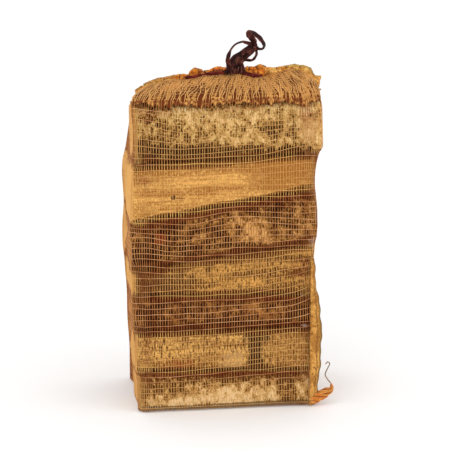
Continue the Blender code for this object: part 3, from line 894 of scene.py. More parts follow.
@dataclass
class LogStack:
    """All the logs. Each is a copy of the blank, wrapped on its solid and given bark and grain.

    Inside the stack, where none is seen, the logs bulge towards each other, so that no light
    passes between them. Ranges along x and y are counted from the middle of the stack.
    """

    # How the blank is wrapped on a solid.
    blank: LogBlank = field(default_factory=LogBlank)
    merging: float = 0.01 * MM
    end_ring: float = 7 * MM
    end_margin: float = 0.004
    smoothing: int = 5
    allowance: float = 0.45 * MM
    end_inset: float = 0.3 * MM
    edge_inset: float = 0.7 * MM
    shaded_smooth: float = 40.0
    # The relief of bark and of split wood, and the size of its lumps along each axis.
    bark_depth: float = 1.5 * MM
    lump_size: tuple = (0.016, 0.011, 0.011)
    crack_depth: float = 1.1 * MM
    crack_sharpness: float = 7
    plate_size: tuple = (0.0055, 0.010, 0.010)
    grain_depth: float = 0.7 * MM
    fibre_size: tuple = (0.070, 0.0032, 0.0032)
    splinter_depth: float = 1.6 * MM
    board_size: tuple = (0.120, 0.010, 0.010)
    board_steps: float = 6
    # How bark and the painted shade of the gaps between logs fade out.
    bark_edge: tuple[float, float] = (-0.03, 0.05)
    gap_shade_edge: tuple[float, float] = (1.5 * MM, 5.5 * MM)
    # The bulges inside the stack.
    bulge_rounds: int = 8
    apart: float = 1.3 * MM
    most_swell: float = 42 * MM
    highest: float = 420 * MM
    deepest: float = 90 * MM
    swell_x: tuple[float, float] = (88 * MM, 114 * MM)
    swell_y: tuple[float, float] = (71 * MM, 89 * MM)

    def build(self) -> None:
        """Builds every log."""
        blank = self.blank.build()
        for number, look in enumerate(LOG_LOOKS):
            self.build_log(look, number, blank.data)
        bpy.data.objects.remove(blank, do_unlink=True)

    def solid(self, node: str) -> tuple[BVHTree, np.ndarray]:
        """A merged copy of a log's solid.

        Args:
            node: the solid's name.

        Returns:
            A tree of its surface, and its points.
        """
        shape = bmesh.new()
        shape.from_mesh(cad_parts[node].data)
        bmesh.ops.remove_doubles(shape, verts=shape.verts, dist=self.merging)
        tree = BVHTree.FromBMesh(shape)
        points = np.array([vertex.co for vertex in shape.verts])
        shape.free()
        return tree, points

    def axis(self, points: np.ndarray) -> tuple[np.ndarray, np.ndarray, float]:
        """Where a log's middle line starts and ends, and how far its saw cuts lean."""
        found, leans = [], []
        for sign in (-1, 1):
            limit = (points[:, 0] * sign).max() - self.end_ring
            ring = points[points[:, 0] * sign > limit]
            low, high = ring.min(axis=0), ring.max(axis=0)
            leans.append(np.polyfit(ring[:, 2] - ring[:, 2].mean(), ring[:, 0], 1)[0])
            found.append((low + high) / 2)
        return found[0], found[1], sum(leans) / 2

    def reach(self, tree: BVHTree, start: np.ndarray, end: np.ndarray, lean: float) -> np.ndarray:
        """How far a log reaches from its middle line, at each section and in each direction."""
        rows, columns = self.blank.along + 1, self.blank.around
        found = np.zeros((rows, columns))
        for row in range(rows):
            share = min(max(row / (rows - 1), self.end_margin), 1 - self.end_margin)
            centre = start + (end - start) * share
            for column, angle in enumerate(angles(columns)):
                direction = Vector((lean * math.sin(angle), math.cos(angle), math.sin(angle)))
                hit = tree.ray_cast(Vector(centre), direction.normalized())
                found[row, column] = hit[3] * math.hypot(direction.y, direction.z) / direction.length
        for _ in range(self.smoothing):
            found = (np.roll(found, 1, axis=1) + 2 * found + np.roll(found, -1, axis=1)) / 4
            found[1:-1] = (found[:-2] + 2 * found[1:-1] + found[2:]) / 4
        return found

    def swelling(self, look: LogLook, tree: BVHTree, start: np.ndarray, end: np.ndarray,
                 reach: np.ndarray) -> tuple[np.ndarray, np.ndarray]:
        """How far a log bulges towards its neighbours in the middle of the stack, where none is seen.

        Args:
            look: what the log looks like.
            tree: its solid's surface.
            start: where its middle line starts.
            end: where its middle line ends.
            reach: how far its solid reaches at each section and in each direction.

        Returns:
            The bulge at the same places, always nearer to this log than to another one, and how
            smooth the log is there, from 0 to 1.
        """
        neighbours = surface_of([other.node for other in LOG_LOOKS if other is not look])
        rows, columns = reach.shape
        found, plain = np.zeros((rows, columns)), np.zeros((rows, columns))
        for row in range(rows):
            centre = start + (end - start) * row / (rows - 1)
            middling = 1 - smoothstep(*self.swell_x, abs(centre[0] - ORIGIN.x))
            if middling <= 0:
                continue
            for column in range(0, columns, 2):
                angle = math.tau * column / columns
                way = Vector((0, math.cos(angle), math.sin(angle)))
                place = Vector(centre) + way * reach[row, column]
                inner = middling * (1 - smoothstep(*self.swell_y, abs(place.y - ORIGIN.y)))
                if inner <= 0:
                    continue
                bulge = 0.0
                for _ in range(self.bulge_rounds):
                    spot = place + way * bulge
                    free = neighbours.find_nearest(spot)[3] - tree.find_nearest(spot)[3] - self.apart
                    bulge += 0.8 * free
                bulge = max(0.0, bulge)
                swell = min(bulge, self.most_swell)
                spot = place + way * swell
                within = self.apart < spot.z < self.highest and abs(spot.y - ORIGIN.y) < self.deepest
                if within and bulge < 2 * self.most_swell:
                    found[row, column], plain[row, column] = inner * swell, inner
        for grid in (found, plain):
            grid[:, 1::2] = (grid[:, ::2] + np.roll(grid, -2, axis=1)[:, ::2]) / 2
        return found, plain

    def bark_share(self, look: LogLook, reach: np.ndarray) -> np.ndarray:
        """Where bark covers the log, from 0 to 1, at each section and in each direction."""
        columns = reach.shape[1]
        angle = np.array(angles(columns))
        across, upward = reach * np.cos(angle), reach * np.sin(angle)
        turned = []
        for depth, height in look.face.value:
            depth = 1 - depth if look.turned else depth
            y = across.min(axis=1) + (across.max(axis=1) - across.min(axis=1)) * depth
            z = upward.min(axis=1) + (upward.max(axis=1) - upward.min(axis=1)) * height
            turned.append(np.arctan2(z, y))
        first, middle, last = turned
        to_middle, to_last = (np.angle(np.exp(1j * turn)) for turn in (middle - first, last - middle))
        half = np.abs(to_middle) + np.abs(to_last)
        centre = first + np.sign(to_middle) * half / 2
        away = np.abs(np.angle(np.exp(1j * (angle[None, :] - centre[:, None]))))
        return 1 - smoothstep(*self.bark_edge, away - half[:, None] / 2)

    def relief(self, place: Vector, bark: float, number: int) -> float:
        """How deep the surface lies at a place: cracked bark, or grain and splinters."""
        shift = Vector((number * 3.7, number * 1.9, number * 5.3))

        def lumps(size: tuple, times: int = 1) -> float:
            """Noise in the log's own pattern, with lumps of a size along each axis."""
            scaled = Vector((place.x / size[0], place.y / size[1], place.z / size[2]))
            return noise.noise(scaled + shift * times)

        depth = 0.0
        if bark > 0.01:
            crack = max(0.0, 1 - abs(lumps(self.plate_size, 2)) * self.crack_sharpness)
            depth += bark * (self.bark_depth * (0.5 + 0.5 * lumps(self.lump_size)) + self.crack_depth * crack)
        if bark < 0.99:
            board = lumps(self.board_size)
            step = (board * self.board_steps) % 1.0
            depth += (1 - bark) * (
                self.grain_depth * (0.5 + 0.5 * lumps(self.fibre_size)) + self.splinter_depth * 0.35 * step
                + self.splinter_depth * 0.5 * (0.5 + 0.5 * board)
            )
        return depth

    def gap_shades(self, reach: np.ndarray, number: int) -> np.ndarray:
        """Where a log gets painted shade along its upper and lower edge, next to the gaps between logs, but
        the top log only along its lower.
        """
        level = reach * np.sin(angles(reach.shape[1]))
        level -= level.min(axis=1, keepdims=True)
        from_top = level.max(axis=1, keepdims=True) - level if number else np.inf
        return 1 - smoothstep(*self.gap_shade_edge, np.minimum(level, from_top))

    def places(self, blank: bpy.types.Mesh) -> tuple[np.ndarray, np.ndarray, np.ndarray]:
        """Which section and direction each point of the blank is at, and how far out, from 0 to 1."""
        rows, columns = self.blank.along + 1, self.blank.around
        flat = np.zeros(len(blank.vertices) * 3)
        blank.vertices.foreach_get("co", flat)
        x, y, z = flat.reshape(-1, 3).T
        row = np.clip(np.round((x + 0.5) * (rows - 1)).astype(int), 0, rows - 1)
        column = np.round(np.arctan2(z, y) / math.tau * columns).astype(int) % columns
        return row, column, np.hypot(y, z)

    def rough(self, number: int, middles: np.ndarray, ways: np.ndarray, reach: np.ndarray,
              bark: np.ndarray) -> np.ndarray:
        """How deep the surface of a log lies.

        Args:
            number: the log's place in the stack, which its pattern starts from.
            middles: the middle of each section.
            ways: each direction, as its share along y and z.
            reach: how far the solid reaches at each section and in each direction.
            bark: where bark covers it, from 0 to 1.

        Returns:
            The depth at the same places.
        """
        found = np.zeros_like(reach)
        for row, middle in enumerate(middles):
            for column, (y, z) in enumerate(ways):
                out = reach[row, column]
                place = Vector((0.0, y * out, z * out)) + Vector(middle)
                found[row, column] = self.relief(place, bark[row, column], number)
        return found

    def build_log(self, look: LogLook, number: int, blank: bpy.types.Mesh) -> None:
        """Wraps one copy of the blank on its solid.

        Args:
            look: what the log looks like.
            number: its place in the stack, which its pattern starts from.
            blank: the blank's mesh.
        """
        tree, corners = self.solid(look.node)
        start, end, lean = self.axis(corners)
        reach = self.reach(tree, start, end, lean)
        bark = self.bark_share(look, reach)
        swelling, plain = self.swelling(look, tree, start, end, reach)
        rows, columns = reach.shape
        middles = start + (end - start) * (np.arange(rows) / (rows - 1))[:, None]
        ways = np.array([(math.cos(turn), math.sin(turn)) for turn in angles(columns)])
        rough = self.rough(number, middles, ways, reach, bark) * (1 - plain)
        row, column, radius = self.places(blank)
        is_cap = radius < 0.999
        out = (reach + (self.allowance + swelling - rough))[row, column]
        y, z = ways[column].T * out * np.where(is_cap, radius, 1.0)
        points = middles[row] + np.stack([lean * z, y, z], axis=1)
        inset = self.end_inset + np.where(is_cap, 0.0, self.edge_inset)
        points[:, 0] += inset * (1 * (row == 0) - 1 * (row == rows - 1))
        mesh = blank.copy()
        mesh.name = look.name
        mesh.vertices.foreach_set("co", points.ravel())
        mesh.update()
        mesh.materials.clear()
        mesh.materials.append(LogPaint(Recipe(look.name, 0.85), number).material(start))
        obj = bpy.data.objects.new(look.name, mesh)
        bpy.context.scene.collection.objects.link(obj)
        add_marks(obj, "bark", np.where(radius > 0.93, bark[row, column], 0.0))
        add_marks(obj, "sawn", is_cap)
        # Painted shade of the gaps between logs.
        add_marks(obj, "gap_shade", np.where(is_cap, 0.0, self.gap_shades(reach, number)[row, column]))
        deselect()
        obj.select_set(True)
        bpy.context.view_layer.objects.active = obj
        bpy.ops.object.shade_smooth_by_angle(angle=math.radians(self.shaded_smooth))
        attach(obj, BODY)
        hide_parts(look.node)
        log.info("%s: %d faces", look.name, len(mesh.polygons))


@dataclass(frozen=True)
class YarnFinish:
    """Flat plastic yarn: the colours of its upright and its crossing strands, and its dullness.

    The yarn is translucent, so it takes on the colour of the paler logs that it lies over.
    """

    light: Colour
    deep: Colour
    crossing_light: Colour
    crossing_deep: Colour
    over_pale: Colour
    roughness: float = 0.6

    def material(self, name: str, behind: Sequence[int] = ()) -> bpy.types.Material:
        """Yarn with a slightly different shade on each strand, and stitches along it.

        Args:
            name: the material's name.
            behind: the numbers of the logs that show through it.

        Returns:
            The material.
        """
        recipe = Recipe(name, self.roughness)
        cloud = recipe.noise(70, 4, 0.65)
        stitch = recipe.noise((500, 500, 330), 2)
        share = recipe.attribute("tone") * 0.5 + cloud.over(0.36, 0.64) * 0.5
        colour = recipe.layered(
            self.light,
            (share, self.deep),
            (recipe.attribute("kind"), recipe.layered(self.crossing_light, (share, self.crossing_deep))),
            (recipe.attribute("backing") * 0.8, self.over_pale),
            (stitch.over(0.5, 0.8) * 0.35, self.deep),
        )
        for number in behind:
            seen = LogPaint(recipe, number).front()
            bright = recipe.node("ShaderNodeRGBToBW", values={0: seen}).over(0.06, 0.36)
            share = recipe.attribute(f"over_{number}") * (bright * 0.46 + 0.2)
            colour = recipe.layered(colour, (share, seen))
        return recipe.finish(colour, stitch, 0.3 * MM)


NET_YARN = YarnFinish(
    srgb(208, 146, 80), srgb(132, 72, 32), srgb(232, 176, 126), srgb(180, 116, 70), srgb(236, 182, 104)
)
SEWING_YARN = YarnFinish(
    srgb(150, 108, 58), srgb(120, 82, 44), srgb(150, 108, 58), srgb(120, 82, 44), srgb(150, 108, 58), 0.8
)
SHOWN_THROUGH = (0, 1, 3, 5, 6)


@dataclass(frozen=True)
class GatherFinish:
    """Gathered net seen through the outer layer: golden folds with dark slits between them, painted shade."""

    fold: Colour = srgb(206, 148, 78)
    slit_shade: Colour = srgb(104, 48, 16)

    def material(self, name: str) -> bpy.types.Material:
        """Folds along the strands, and fine meshes across them."""
        recipe = Recipe(name, 0.75)
        fine = recipe.noise((420, 300, 420), 3, 0.6)
        share = recipe.attribute("fold") + (fine - 0.5) * 1.6
        # Low fold marks give the slit colour: painted shade between the folds.
        return recipe.finish(recipe.layered(self.slit_shade, (share.over(0.25, 0.75), self.fold)), fine, 0.5 * MM)


@dataclass
class NetCloth:
    """The knitted cloth: a taut skin over the logs, and the strands that lie in it.

    Its columns are the upright wales, counted from the front right corner by way of the right
    side, the back and the left side to the front. Its rows are half a course apart. The wales
    stand closer together on both sides, where the cloth is slack. The skin is kept as a grid of
    places, with the outward direction at each, the number and the paleness of the log behind it,
    and how wide the gap to that log is, from 0 to 1.
    """

    # The outline seen from above, and its wales.
    half_width: float = 125 * MM
    half_depth: float = 96 * MM
    corner: float = 24 * MM
    centre: Vector = field(default_factory=lambda: at(-1.5, -0.5, 0))
    wale_gap: float = 3.57 * MM
    side_slack: float = 2.1
    # The bottom.
    floor_rows: int = 10
    floor_height: float = 0.7 * MM
    floor_reach: float = 0.86
    # The walls.
    wall_rows: int = 110
    foot: float = 2.2 * MM
    eave: float = 420 * MM
    below_eave: float = 2 * MM
    clearance: float = 1.1 * MM
    lowest_limit: float = 4 * MM
    most_reach: float = 3.5 * MM
    inside_bag: float = 0.3 * MM
    rounds: int = 260
    cling: float = 0.03 * MM
    # The two upper corners in front, which stand out by themselves.
    stand_back: float = 1.2 * MM
    stand_right: tuple[float, float] = (25 * MM, 70 * MM)
    stand_right_level: tuple[float, float] = (362 * MM, 384 * MM)
    stand_left: tuple[float, float] = (16 * MM, 50 * MM)
    stand_left_level: tuple[float, float] = (386 * MM, 404 * MM)
    # The eave and the shoulder over it.
    eave_slope: tuple[float, float] = (0.02, -0.06)
    eave_lift: float = 2 * MM
    eave_rows: int = 10
    eave_rounds: int = 24
    shoulder_rows: int = 24
    shoulder_swell: float = 0.16
    fold_heights: tuple[float, float] = (3.0, 3.4)
    bunching: float = 1.3
    # The neck under the hem.
    mouth: Vector = field(default_factory=lambda: at(14, -23.4, 0))
    mouth_half: float = 115 * MM
    neck_rows: int = 3
    neck_rise: float = 4.5 * MM
    neck_depth: float = 3.2 * MM
    neck_share: float = 0.93
    neck_turn: float = 72.0
    neck_aside: float = 9 * MM
    neck_lift: float = 2.5
    drifts: tuple = ((-45, 55, 30 * MM), (104, 44, -34 * MM))
    # How the cloth is drawn aside.
    row_pitch: float = 3.85
    wale_pitch: float = 3.6
    pulls: tuple[Pull, ...] = (
        Pull(-118, 385, 40, 30, 9), Pull(-62, 375, 45, 30, -6), Pull(104, 352, 46, 24, 13),
        Pull(-120, 215, 30, 30, 7), Pull(100, 180, 50, 40, 8), Pull(126, 150, 26, 32, 14),
        Pull(-90, 60, 70, 60, -4), Pull(100, 70, 60, 60, 6), Pull(20, 255, 50, 30, 5),
        Pull(-60, 255, 40, 30, -4),
    )
    # The strands.
    wale_width: float = 0.95 * MM
    course_width: float = 0.85 * MM
    course_lift: float = 0.25 * MM
    thickness: float = 0.5 * MM
    stitch_widths: tuple[float, float] = (0.86, 1.14)
    without_course: tuple[int, int] = (-3, 2)
    least_cover: float = 0.301
    # What lies behind them.
    log_margin: float = 0.01
    gap_edge: tuple[float, float] = (1.9 * MM, 4.2 * MM)
    widest_shown: float = 0.7
    # Where no log lies behind, as on the shoulder, the yarn takes a pale backing: painted highlight.
    no_log: float = 0.8
    # The cloth that is tucked in.
    tuck_depth: float = 2.0 * MM
    tuck_thickness: float = 0.6 * MM
    tuck_start: float = 0.3 * MM
    # What is worked out while it is built.
    runs: np.ndarray = field(init=False)
    grid: np.ndarray = field(init=False)
    outward: np.ndarray = field(init=False)
    backing: np.ndarray = field(init=False)
    behind: np.ndarray = field(init=False)
    gaps: np.ndarray = field(init=False)
    cuts: dict[str, tuple[float, float, float]] = field(init=False, default_factory=dict)
    sides: dict[str, bpy.types.Object] = field(init=False)
    tucked: bpy.types.Object = field(init=False)

    @property
    def wales(self) -> int:
        """How many wales the whole net has."""
        return len(self.runs)

    @property
    def first_shoulder(self) -> int:
        """The first row of the shoulder."""
        return self.floor_rows + self.wall_rows

    def legs(self) -> list[float]:
        """The lengths of the outline's halved corner, straight sides and corners, in order."""
        a, b = self.half_width - self.corner, self.half_depth - self.corner
        quarter = math.pi / 2 * self.corner
        return [quarter / 2, 2 * b, quarter, 2 * a, quarter, 2 * b, quarter, 2 * a, quarter / 2]

    def spread(self) -> np.ndarray:
        """How far along the outline each wale stands."""
        ends = np.cumsum([0.0, *self.legs()])
        slack, mean = self.side_slack, (1 + self.side_slack) / 2
        run = np.linspace(0, ends[-1], 4001)
        density = np.interp(run, ends, (mean, slack, slack, 1, 1, slack, slack, 1, 1, mean)) / self.wale_gap
        count = np.concatenate([[0.0], np.cumsum((density[1:] + density[:-1]) / 2 * np.diff(run))])
        wales = round(float(count[-1]))
        return np.interp(np.arange(wales) / wales * count[-1], count, run)

    def outline(self) -> tuple[np.ndarray, np.ndarray]:
        """The foot of each wale's ray and its direction, seen from above."""
        a, b = self.half_width - self.corner, self.half_depth - self.corner
        legs = self.legs()
        feet, ways = [], []
        hubs = ((a, -b), (a, -b), (a, b), (a, b), (-a, b), (-a, b), (-a, -b), (-a, -b), (a, -b))
        turns = (-45, 0, 0, 90, 90, 180, 180, 270, 270)
        for run in self.runs:
            leg = 0
            while run > legs[leg]:
                run -= legs[leg]
                leg += 1
            turn = math.radians(turns[leg])
            hub = Vector(hubs[leg])
            if leg % 2:
                way = Vector((math.cos(turn), math.sin(turn)))
                foot = hub + Vector((-way.y, way.x)) * run
            else:
                turn += run / self.corner
                way = Vector((math.cos(turn), math.sin(turn)))
                foot = hub
            feet.append((foot.x + self.centre.x, foot.y + self.centre.y, 0.0))
            ways.append((way.x, way.y, 0.0))
        return np.array(feet), np.array(ways)

    def depths(self, tree: BVHTree, feet: np.ndarray, ways: np.ndarray, heights: np.ndarray) -> np.ndarray:
        """How far a surface reaches at each height and wale, seen from outside."""
        far = self.corner + 60 * MM
        found = np.zeros((len(heights), len(feet)))
        for j, height in enumerate(heights):
            for k, (foot, way) in enumerate(zip(feet, ways)):
                start = Vector(foot + way * far)
                start.z = height
                hit = tree.ray_cast(start, -Vector(way), far)
                found[j, k] = far - hit[3] if hit[0] is not None else 0.0
        return found

    def taut(self, needed: np.ndarray, limit: np.ndarray) -> np.ndarray:
        """Draws a skin taut over what it has to clear.

        Args:
            needed: the least reach of the skin at each height and wale.
            limit: its largest reach.

        Returns:
            The skin's reach.
        """
        skin = limit.copy()
        for _ in range(self.rounds):
            mean = (np.roll(skin, 1, axis=1) + np.roll(skin, -1, axis=1)) * 0.35
            mean[1:-1] += (skin[:-2] + skin[2:]) * 0.15
            mean[0] += skin[1] * 0.3
            mean[-1] += limit[-1] * 0.3
            skin = np.clip(mean - self.cling, needed, np.maximum(limit, needed))
        return skin

    def neck(self, feet: np.ndarray, ways: np.ndarray) -> np.ndarray:
        """Where each wale, by its foot and direction, goes in under the hem."""
        found = np.zeros_like(feet)
        for k, foot in enumerate(feet):
            spot = foot - np.array(self.centre)
            aside, ahead = ways[k][0], -ways[k][1]
            behind = spot[1] > 0
            along = max(-1.0, min(1.0, spot[0] / (self.half_width - self.corner) * self.neck_share))
            x = self.mouth.x + self.mouth_half * math.sin(along * math.radians(self.neck_turn))
            if not behind:
                place = (x - ORIGIN.x) / MM
                for middle, reach, shift in self.drifts:
                    x += shift * math.exp(-((place - middle) / reach) ** 2) * smoothstep(0.45, 0.95, ahead)
            x += math.copysign(self.neck_aside * smoothstep(0.5, 0.95, abs(aside)), aside)
            outer = min(1.0, (x - self.mouth.x) / self.mouth_half)
            depth = (self.neck_depth if behind else -self.neck_depth) * math.sqrt(max(0.04, 1 - outer ** 4))
            level = (hem_foot((x - ORIGIN.x) / MM) + self.neck_lift) * MM
            found[k] = (x, self.mouth.y + depth, level)
        return found

    def standing_corner(self, heights: np.ndarray) -> np.ndarray:
        """How far the gathered cloth stands out by itself at the two upper corners in front."""
        around = np.minimum(self.runs, self.runs[-1] - self.runs + 20 * MM)
        right = 1 - smoothstep(*self.stand_right, around)
        right_level = smoothstep(*self.stand_right_level, heights)
        legs = self.legs()
        away = np.abs(self.runs - sum(legs[:6]) - legs[6] / 2)
        left = 1 - smoothstep(*self.stand_left, away)
        left_level = smoothstep(*self.stand_left_level, heights)
        stands = np.maximum(right[None] * right_level[:, None], left[None] * left_level[:, None])
        return (self.corner - self.stand_back) * stands

    def wall(self, feet: np.ndarray, ways: np.ndarray, logs: BVHTree) -> np.ndarray:
        """The cloth on the walls, row by row from the floor to the eave."""
        share = np.linspace(0, 1, self.wall_rows)
        heights = self.foot + (self.eave - self.below_eave - self.foot) * share
        needed = self.depths(logs, feet, ways, heights) + self.clearance
        needed = np.maximum(needed, self.standing_corner(heights))
        bag = surface_of(["net_bag"])
        limit = self.depths(bag, feet, ways, np.maximum(heights, self.lowest_limit))
        limit = np.minimum(limit, self.corner + self.most_reach) - self.inside_bag
        found = feet[None] + ways[None] * self.taut(needed, limit)[:, :, None]
        found[:, :, 2] = heights[:, None]
        x, y = found[-1, :, 0], found[-1, :, 1]
        slope = self.eave_slope[0] * (x - ORIGIN.x) + self.eave_slope[1] * (y - y.min()) + self.eave_lift
        found[:, :, 2] += (share ** 6)[:, None] * slope[None]
        return found

    def shoulder(self, eave: np.ndarray, neck: np.ndarray) -> np.ndarray:
        """The cloth from the eave up to the neck and on inside the hem, row by row."""
        rows = []
        for j in range(1, self.shoulder_rows + 1):
            t = j / self.shoulder_rows
            row = eave + (neck - eave) * t
            swell = self.shoulder_swell * t * (1 - t) * np.linalg.norm(neck - eave, axis=1)
            row[:, 2] += swell + self.folds(t)
            rows.append(row)
        for j in range(1, self.neck_rows + 1):
            rise = self.neck_rise * j / self.neck_rows
            rows.append(rows[self.shoulder_rows - 1] + np.array([0, 0, rise]))
        return np.array(rows)

    def base(self, lowest: np.ndarray) -> np.ndarray:
        """The cloth under the logs, row by row from the middle to the lowest row of the walls."""
        target = lowest.copy()
        target[:, 1] = self.centre.y
        target[:, 0] = self.centre.x + (target[:, 0] - self.centre.x) * self.floor_reach
        shares = np.arange(self.floor_rows, 0, -1) / self.floor_rows
        found = lowest[None] + (target - lowest)[None] * shares[:, None, None]
        found[:, :, 2] = self.floor_height
        return found

    def skin(self) -> None:
        """Makes the grid of the cloth's places and outward directions, row by row from the floor."""
        self.runs = self.spread()
        feet, ways = self.outline()
        logs = surface_of([look.node for look in LOG_LOOKS])
        wall = self.wall(feet, ways, logs)
        shoulder = self.shoulder(wall[-1], self.neck(feet, ways))
        self.grid = np.concatenate([self.base(wall[0]), wall, shoulder])
        self.round_eave(logs)
        self.draw_aside()
        self.outward = self.directions(self.grid)
        self.look_behind()

    def look_behind(self) -> None:
        """Finds the log that each place of the cloth lies over."""
        trees = [surface_of([look.node]) for look in LOG_LOOKS]
        boxes = [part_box(look.node) for look in LOG_LOOKS]
        self.backing = np.full(self.grid.shape[:2], self.no_log)
        self.gaps = np.zeros(self.grid.shape[:2])
        self.behind = np.full(self.grid.shape[:2], -1)
        for j in range(self.floor_rows, self.first_shoulder):
            for k in range(self.wales):
                place = Vector(self.grid[j, k])
                near = [i for i, (low, high) in enumerate(boxes)
                        if low[2] - self.log_margin < place.z < high[2] + self.log_margin]
                away = [trees[i].find_nearest(place)[3] for i in near]
                nearest = near[int(np.argmin(away))]
                gap = smoothstep(*self.gap_edge, min(away))
                # Over a gap between logs the pale backing fades out: painted shade of the gap behind the
                # yarn.
                self.backing[j, k] = LOG_LOOKS[nearest].paleness() * (1 - gap)
                self.gaps[j, k] = gap
                if gap < self.widest_shown:
                    self.behind[j, k] = nearest

    def round_eave(self, logs: BVHTree) -> None:
        """Rounds the cloth off between the walls and the shoulder, as far as it still clears the logs."""
        first, last = self.first_shoulder - self.eave_rows, self.first_shoulder + self.eave_rows // 2
        band = self.grid[first:last + 1].copy()
        for _ in range(self.eave_rounds):
            band[1:-1] += ((band[:-2] + band[2:]) / 2 - band[1:-1]) * 0.5
        for row in band[1:-1]:
            for k, place in enumerate(row):
                near, normal, _, _ = logs.find_nearest(Vector(place))
                clear = (Vector(place) - near).dot(normal)
                if clear < self.clearance:
                    row[k] += np.array(normal) * (self.clearance - clear)
        self.grid[first:last + 1] = band

    def folds(self, t: float) -> np.ndarray:
        """How high the gathered shoulder stands in folds, at the share t of its way up."""
        small, large = self.fold_heights
        found = [wobble(k / 3.1, 2.0, t * 1.2) * small + wobble(k / 8.0, 7.0, t * 0.8) * large
                 for k in range(self.wales)]
        return np.array(found) * MM * min(1.0, t * 1.6) * (1 - 0.5 * t)

    def draw_aside(self) -> None:
        """Moves the cloth within its own surface, by the pulls and by the knitting's unevenness."""
        rows, columns = self.grid.shape[:2]
        row_at, column_at = np.mgrid[0:rows, 0:columns].astype(float)
        x = (self.grid[:, :, 0] - ORIGIN.x) / MM
        z = self.grid[:, :, 2] / MM
        front = smoothstep(60, 90, -(self.grid[:, :, 1] - ORIGIN.y) / MM)
        above, below = row_at - self.floor_rows, self.first_shoulder + 16 - row_at
        on_wall = smoothstep(0, 6, above) * smoothstep(0, 8, below)
        shift_x, shift_z = np.zeros_like(x), np.zeros_like(x)
        for pull in self.pulls:
            near = np.exp(-((x - pull.x) / pull.reach_x) ** 2 - ((z - pull.z) / pull.reach_z) ** 2)
            shift_z += near * pull.shift
        for j in range(rows):
            near_eave = math.exp(-((j - self.first_shoulder) / 5.0) ** 2)
            for k, turn in enumerate(angles(columns)):
                around = wobble(math.cos(turn) * 5, math.sin(turn) * 5, j * 0.45)
                shift_z[j, k] += (2.0 + 2.5 * near_eave) * around
                shift_z[j, k] += 3.0 * near_eave * wobble(k / 6.0, j * 0.3, 2.0)
                shift_x[j, k] += 0.9 * wobble(k * 0.7, j * 0.06, 4.0)
        row_at += on_wall * (front + (1 - front) * 0.6) * shift_z / self.row_pitch
        column_at += (0.4 + 0.6 * on_wall) * shift_x / self.wale_pitch
        for j in range(self.first_shoulder - 8, rows):
            height = j - self.first_shoulder
            share = smoothstep(-7, 3, height) * (1 - 0.55 * smoothstep(8, 22, height))
            for k in range(columns):
                column_at[j, k] += share * self.bunching * wobble(k / 1.8, height / 5.0, 9.0)
        self.grid = self.sample(row_at, column_at)

    def sample(self, row_at: np.ndarray, column_at: np.ndarray) -> np.ndarray:
        """The cloth's places at broken rows and columns."""
        rows, columns = self.grid.shape[:2]
        row_at = np.clip(row_at, 0, rows - 1.001)
        low = np.floor(row_at).astype(int)
        left = np.floor(column_at).astype(int)
        a, b = (row_at - low)[..., None], (column_at - left)[..., None]
        left, right = left % columns, (left + 1) % columns
        return ((self.grid[low, left] * (1 - b) + self.grid[low, right] * b) * (1 - a)
                + (self.grid[low + 1, left] * (1 - b) + self.grid[low + 1, right] * b) * a)

    def directions(self, grid: np.ndarray) -> np.ndarray:
        """The outward direction at each place of the grid."""
        around = np.roll(grid, -1, axis=1) - np.roll(grid, 1, axis=1)
        upward = np.gradient(grid, axis=0)
        found = np.cross(around, upward)
        return found / (np.linalg.norm(found, axis=2, keepdims=True) + TINY)

    def panels(self) -> dict[str, np.ndarray]:
        """The columns of the net's four sides, which meet in the middles of its corners."""
        ends = np.cumsum(self.legs())
        quarter = self.legs()[2]
        corners = [0.0, ends[1] + quarter / 2, ends[3] + quarter / 2, ends[5] + quarter / 2]
        first = [int(round(float(np.interp(corner, self.runs, range(self.wales))))) for corner in corners]
        first.append(self.wales)
        names = ("net_right", "net_back", "net_left", "net_front")
        return {name: np.arange(a, b + 1) % self.wales for name, a, b in zip(names, first, first[1:])}

    def knit(self, name: str, columns: np.ndarray, seed: int) -> bpy.types.Object:
        """Args:
            name: the piece's name.
            columns: the wales of this side, from left to right seen from outside.
            seed: where its uneven shades start.

        Returns:
            The piece.
        """
        strands = Bundle()
        chance = np.random.default_rng(seed)
        rows = len(self.grid)
        stitch = np.where(np.arange(rows) % 2, *self.stitch_widths)
        height = np.arange(rows) - self.first_shoulder
        gathered = smoothstep(-4, 5, height)
        thin = 1 - 0.38 * gathered * (1 - 0.4 * smoothstep(8, 16, height))
        slender = (1 + 0.2 * gathered) * (1 - 0.42 * smoothstep(6, 22, height))
        for k in columns[:-1]:
            # Tone is random, deeper over the gaps between logs as painted shade of the gaps behind the yarn,
            # and paler on the shoulder as painted highlight; the shoulder's share of the crossing colour and
            # its pale backing are painted highlight too.
            tone = np.clip(chance.random() - 0.5 * gathered + self.gaps[:, k], 0, 1)
            strands.add(
                self.grid[:, k], self.outward[:, k], self.wale_width * stitch * slender,
                self.thickness * stitch, tone, (0.1 + 0.6 * chance.random()) * gathered,
                self.backing[:, k] * (1 - 0.4 * chance.random() * gathered), self.behind[:, k],
            )
        for j in range(1, rows - self.neck_rows, 2):
            if self.without_course[0] <= height[j] <= self.without_course[1]:
                continue
            line = self.grid[j][columns] + self.outward[j][columns] * self.course_lift
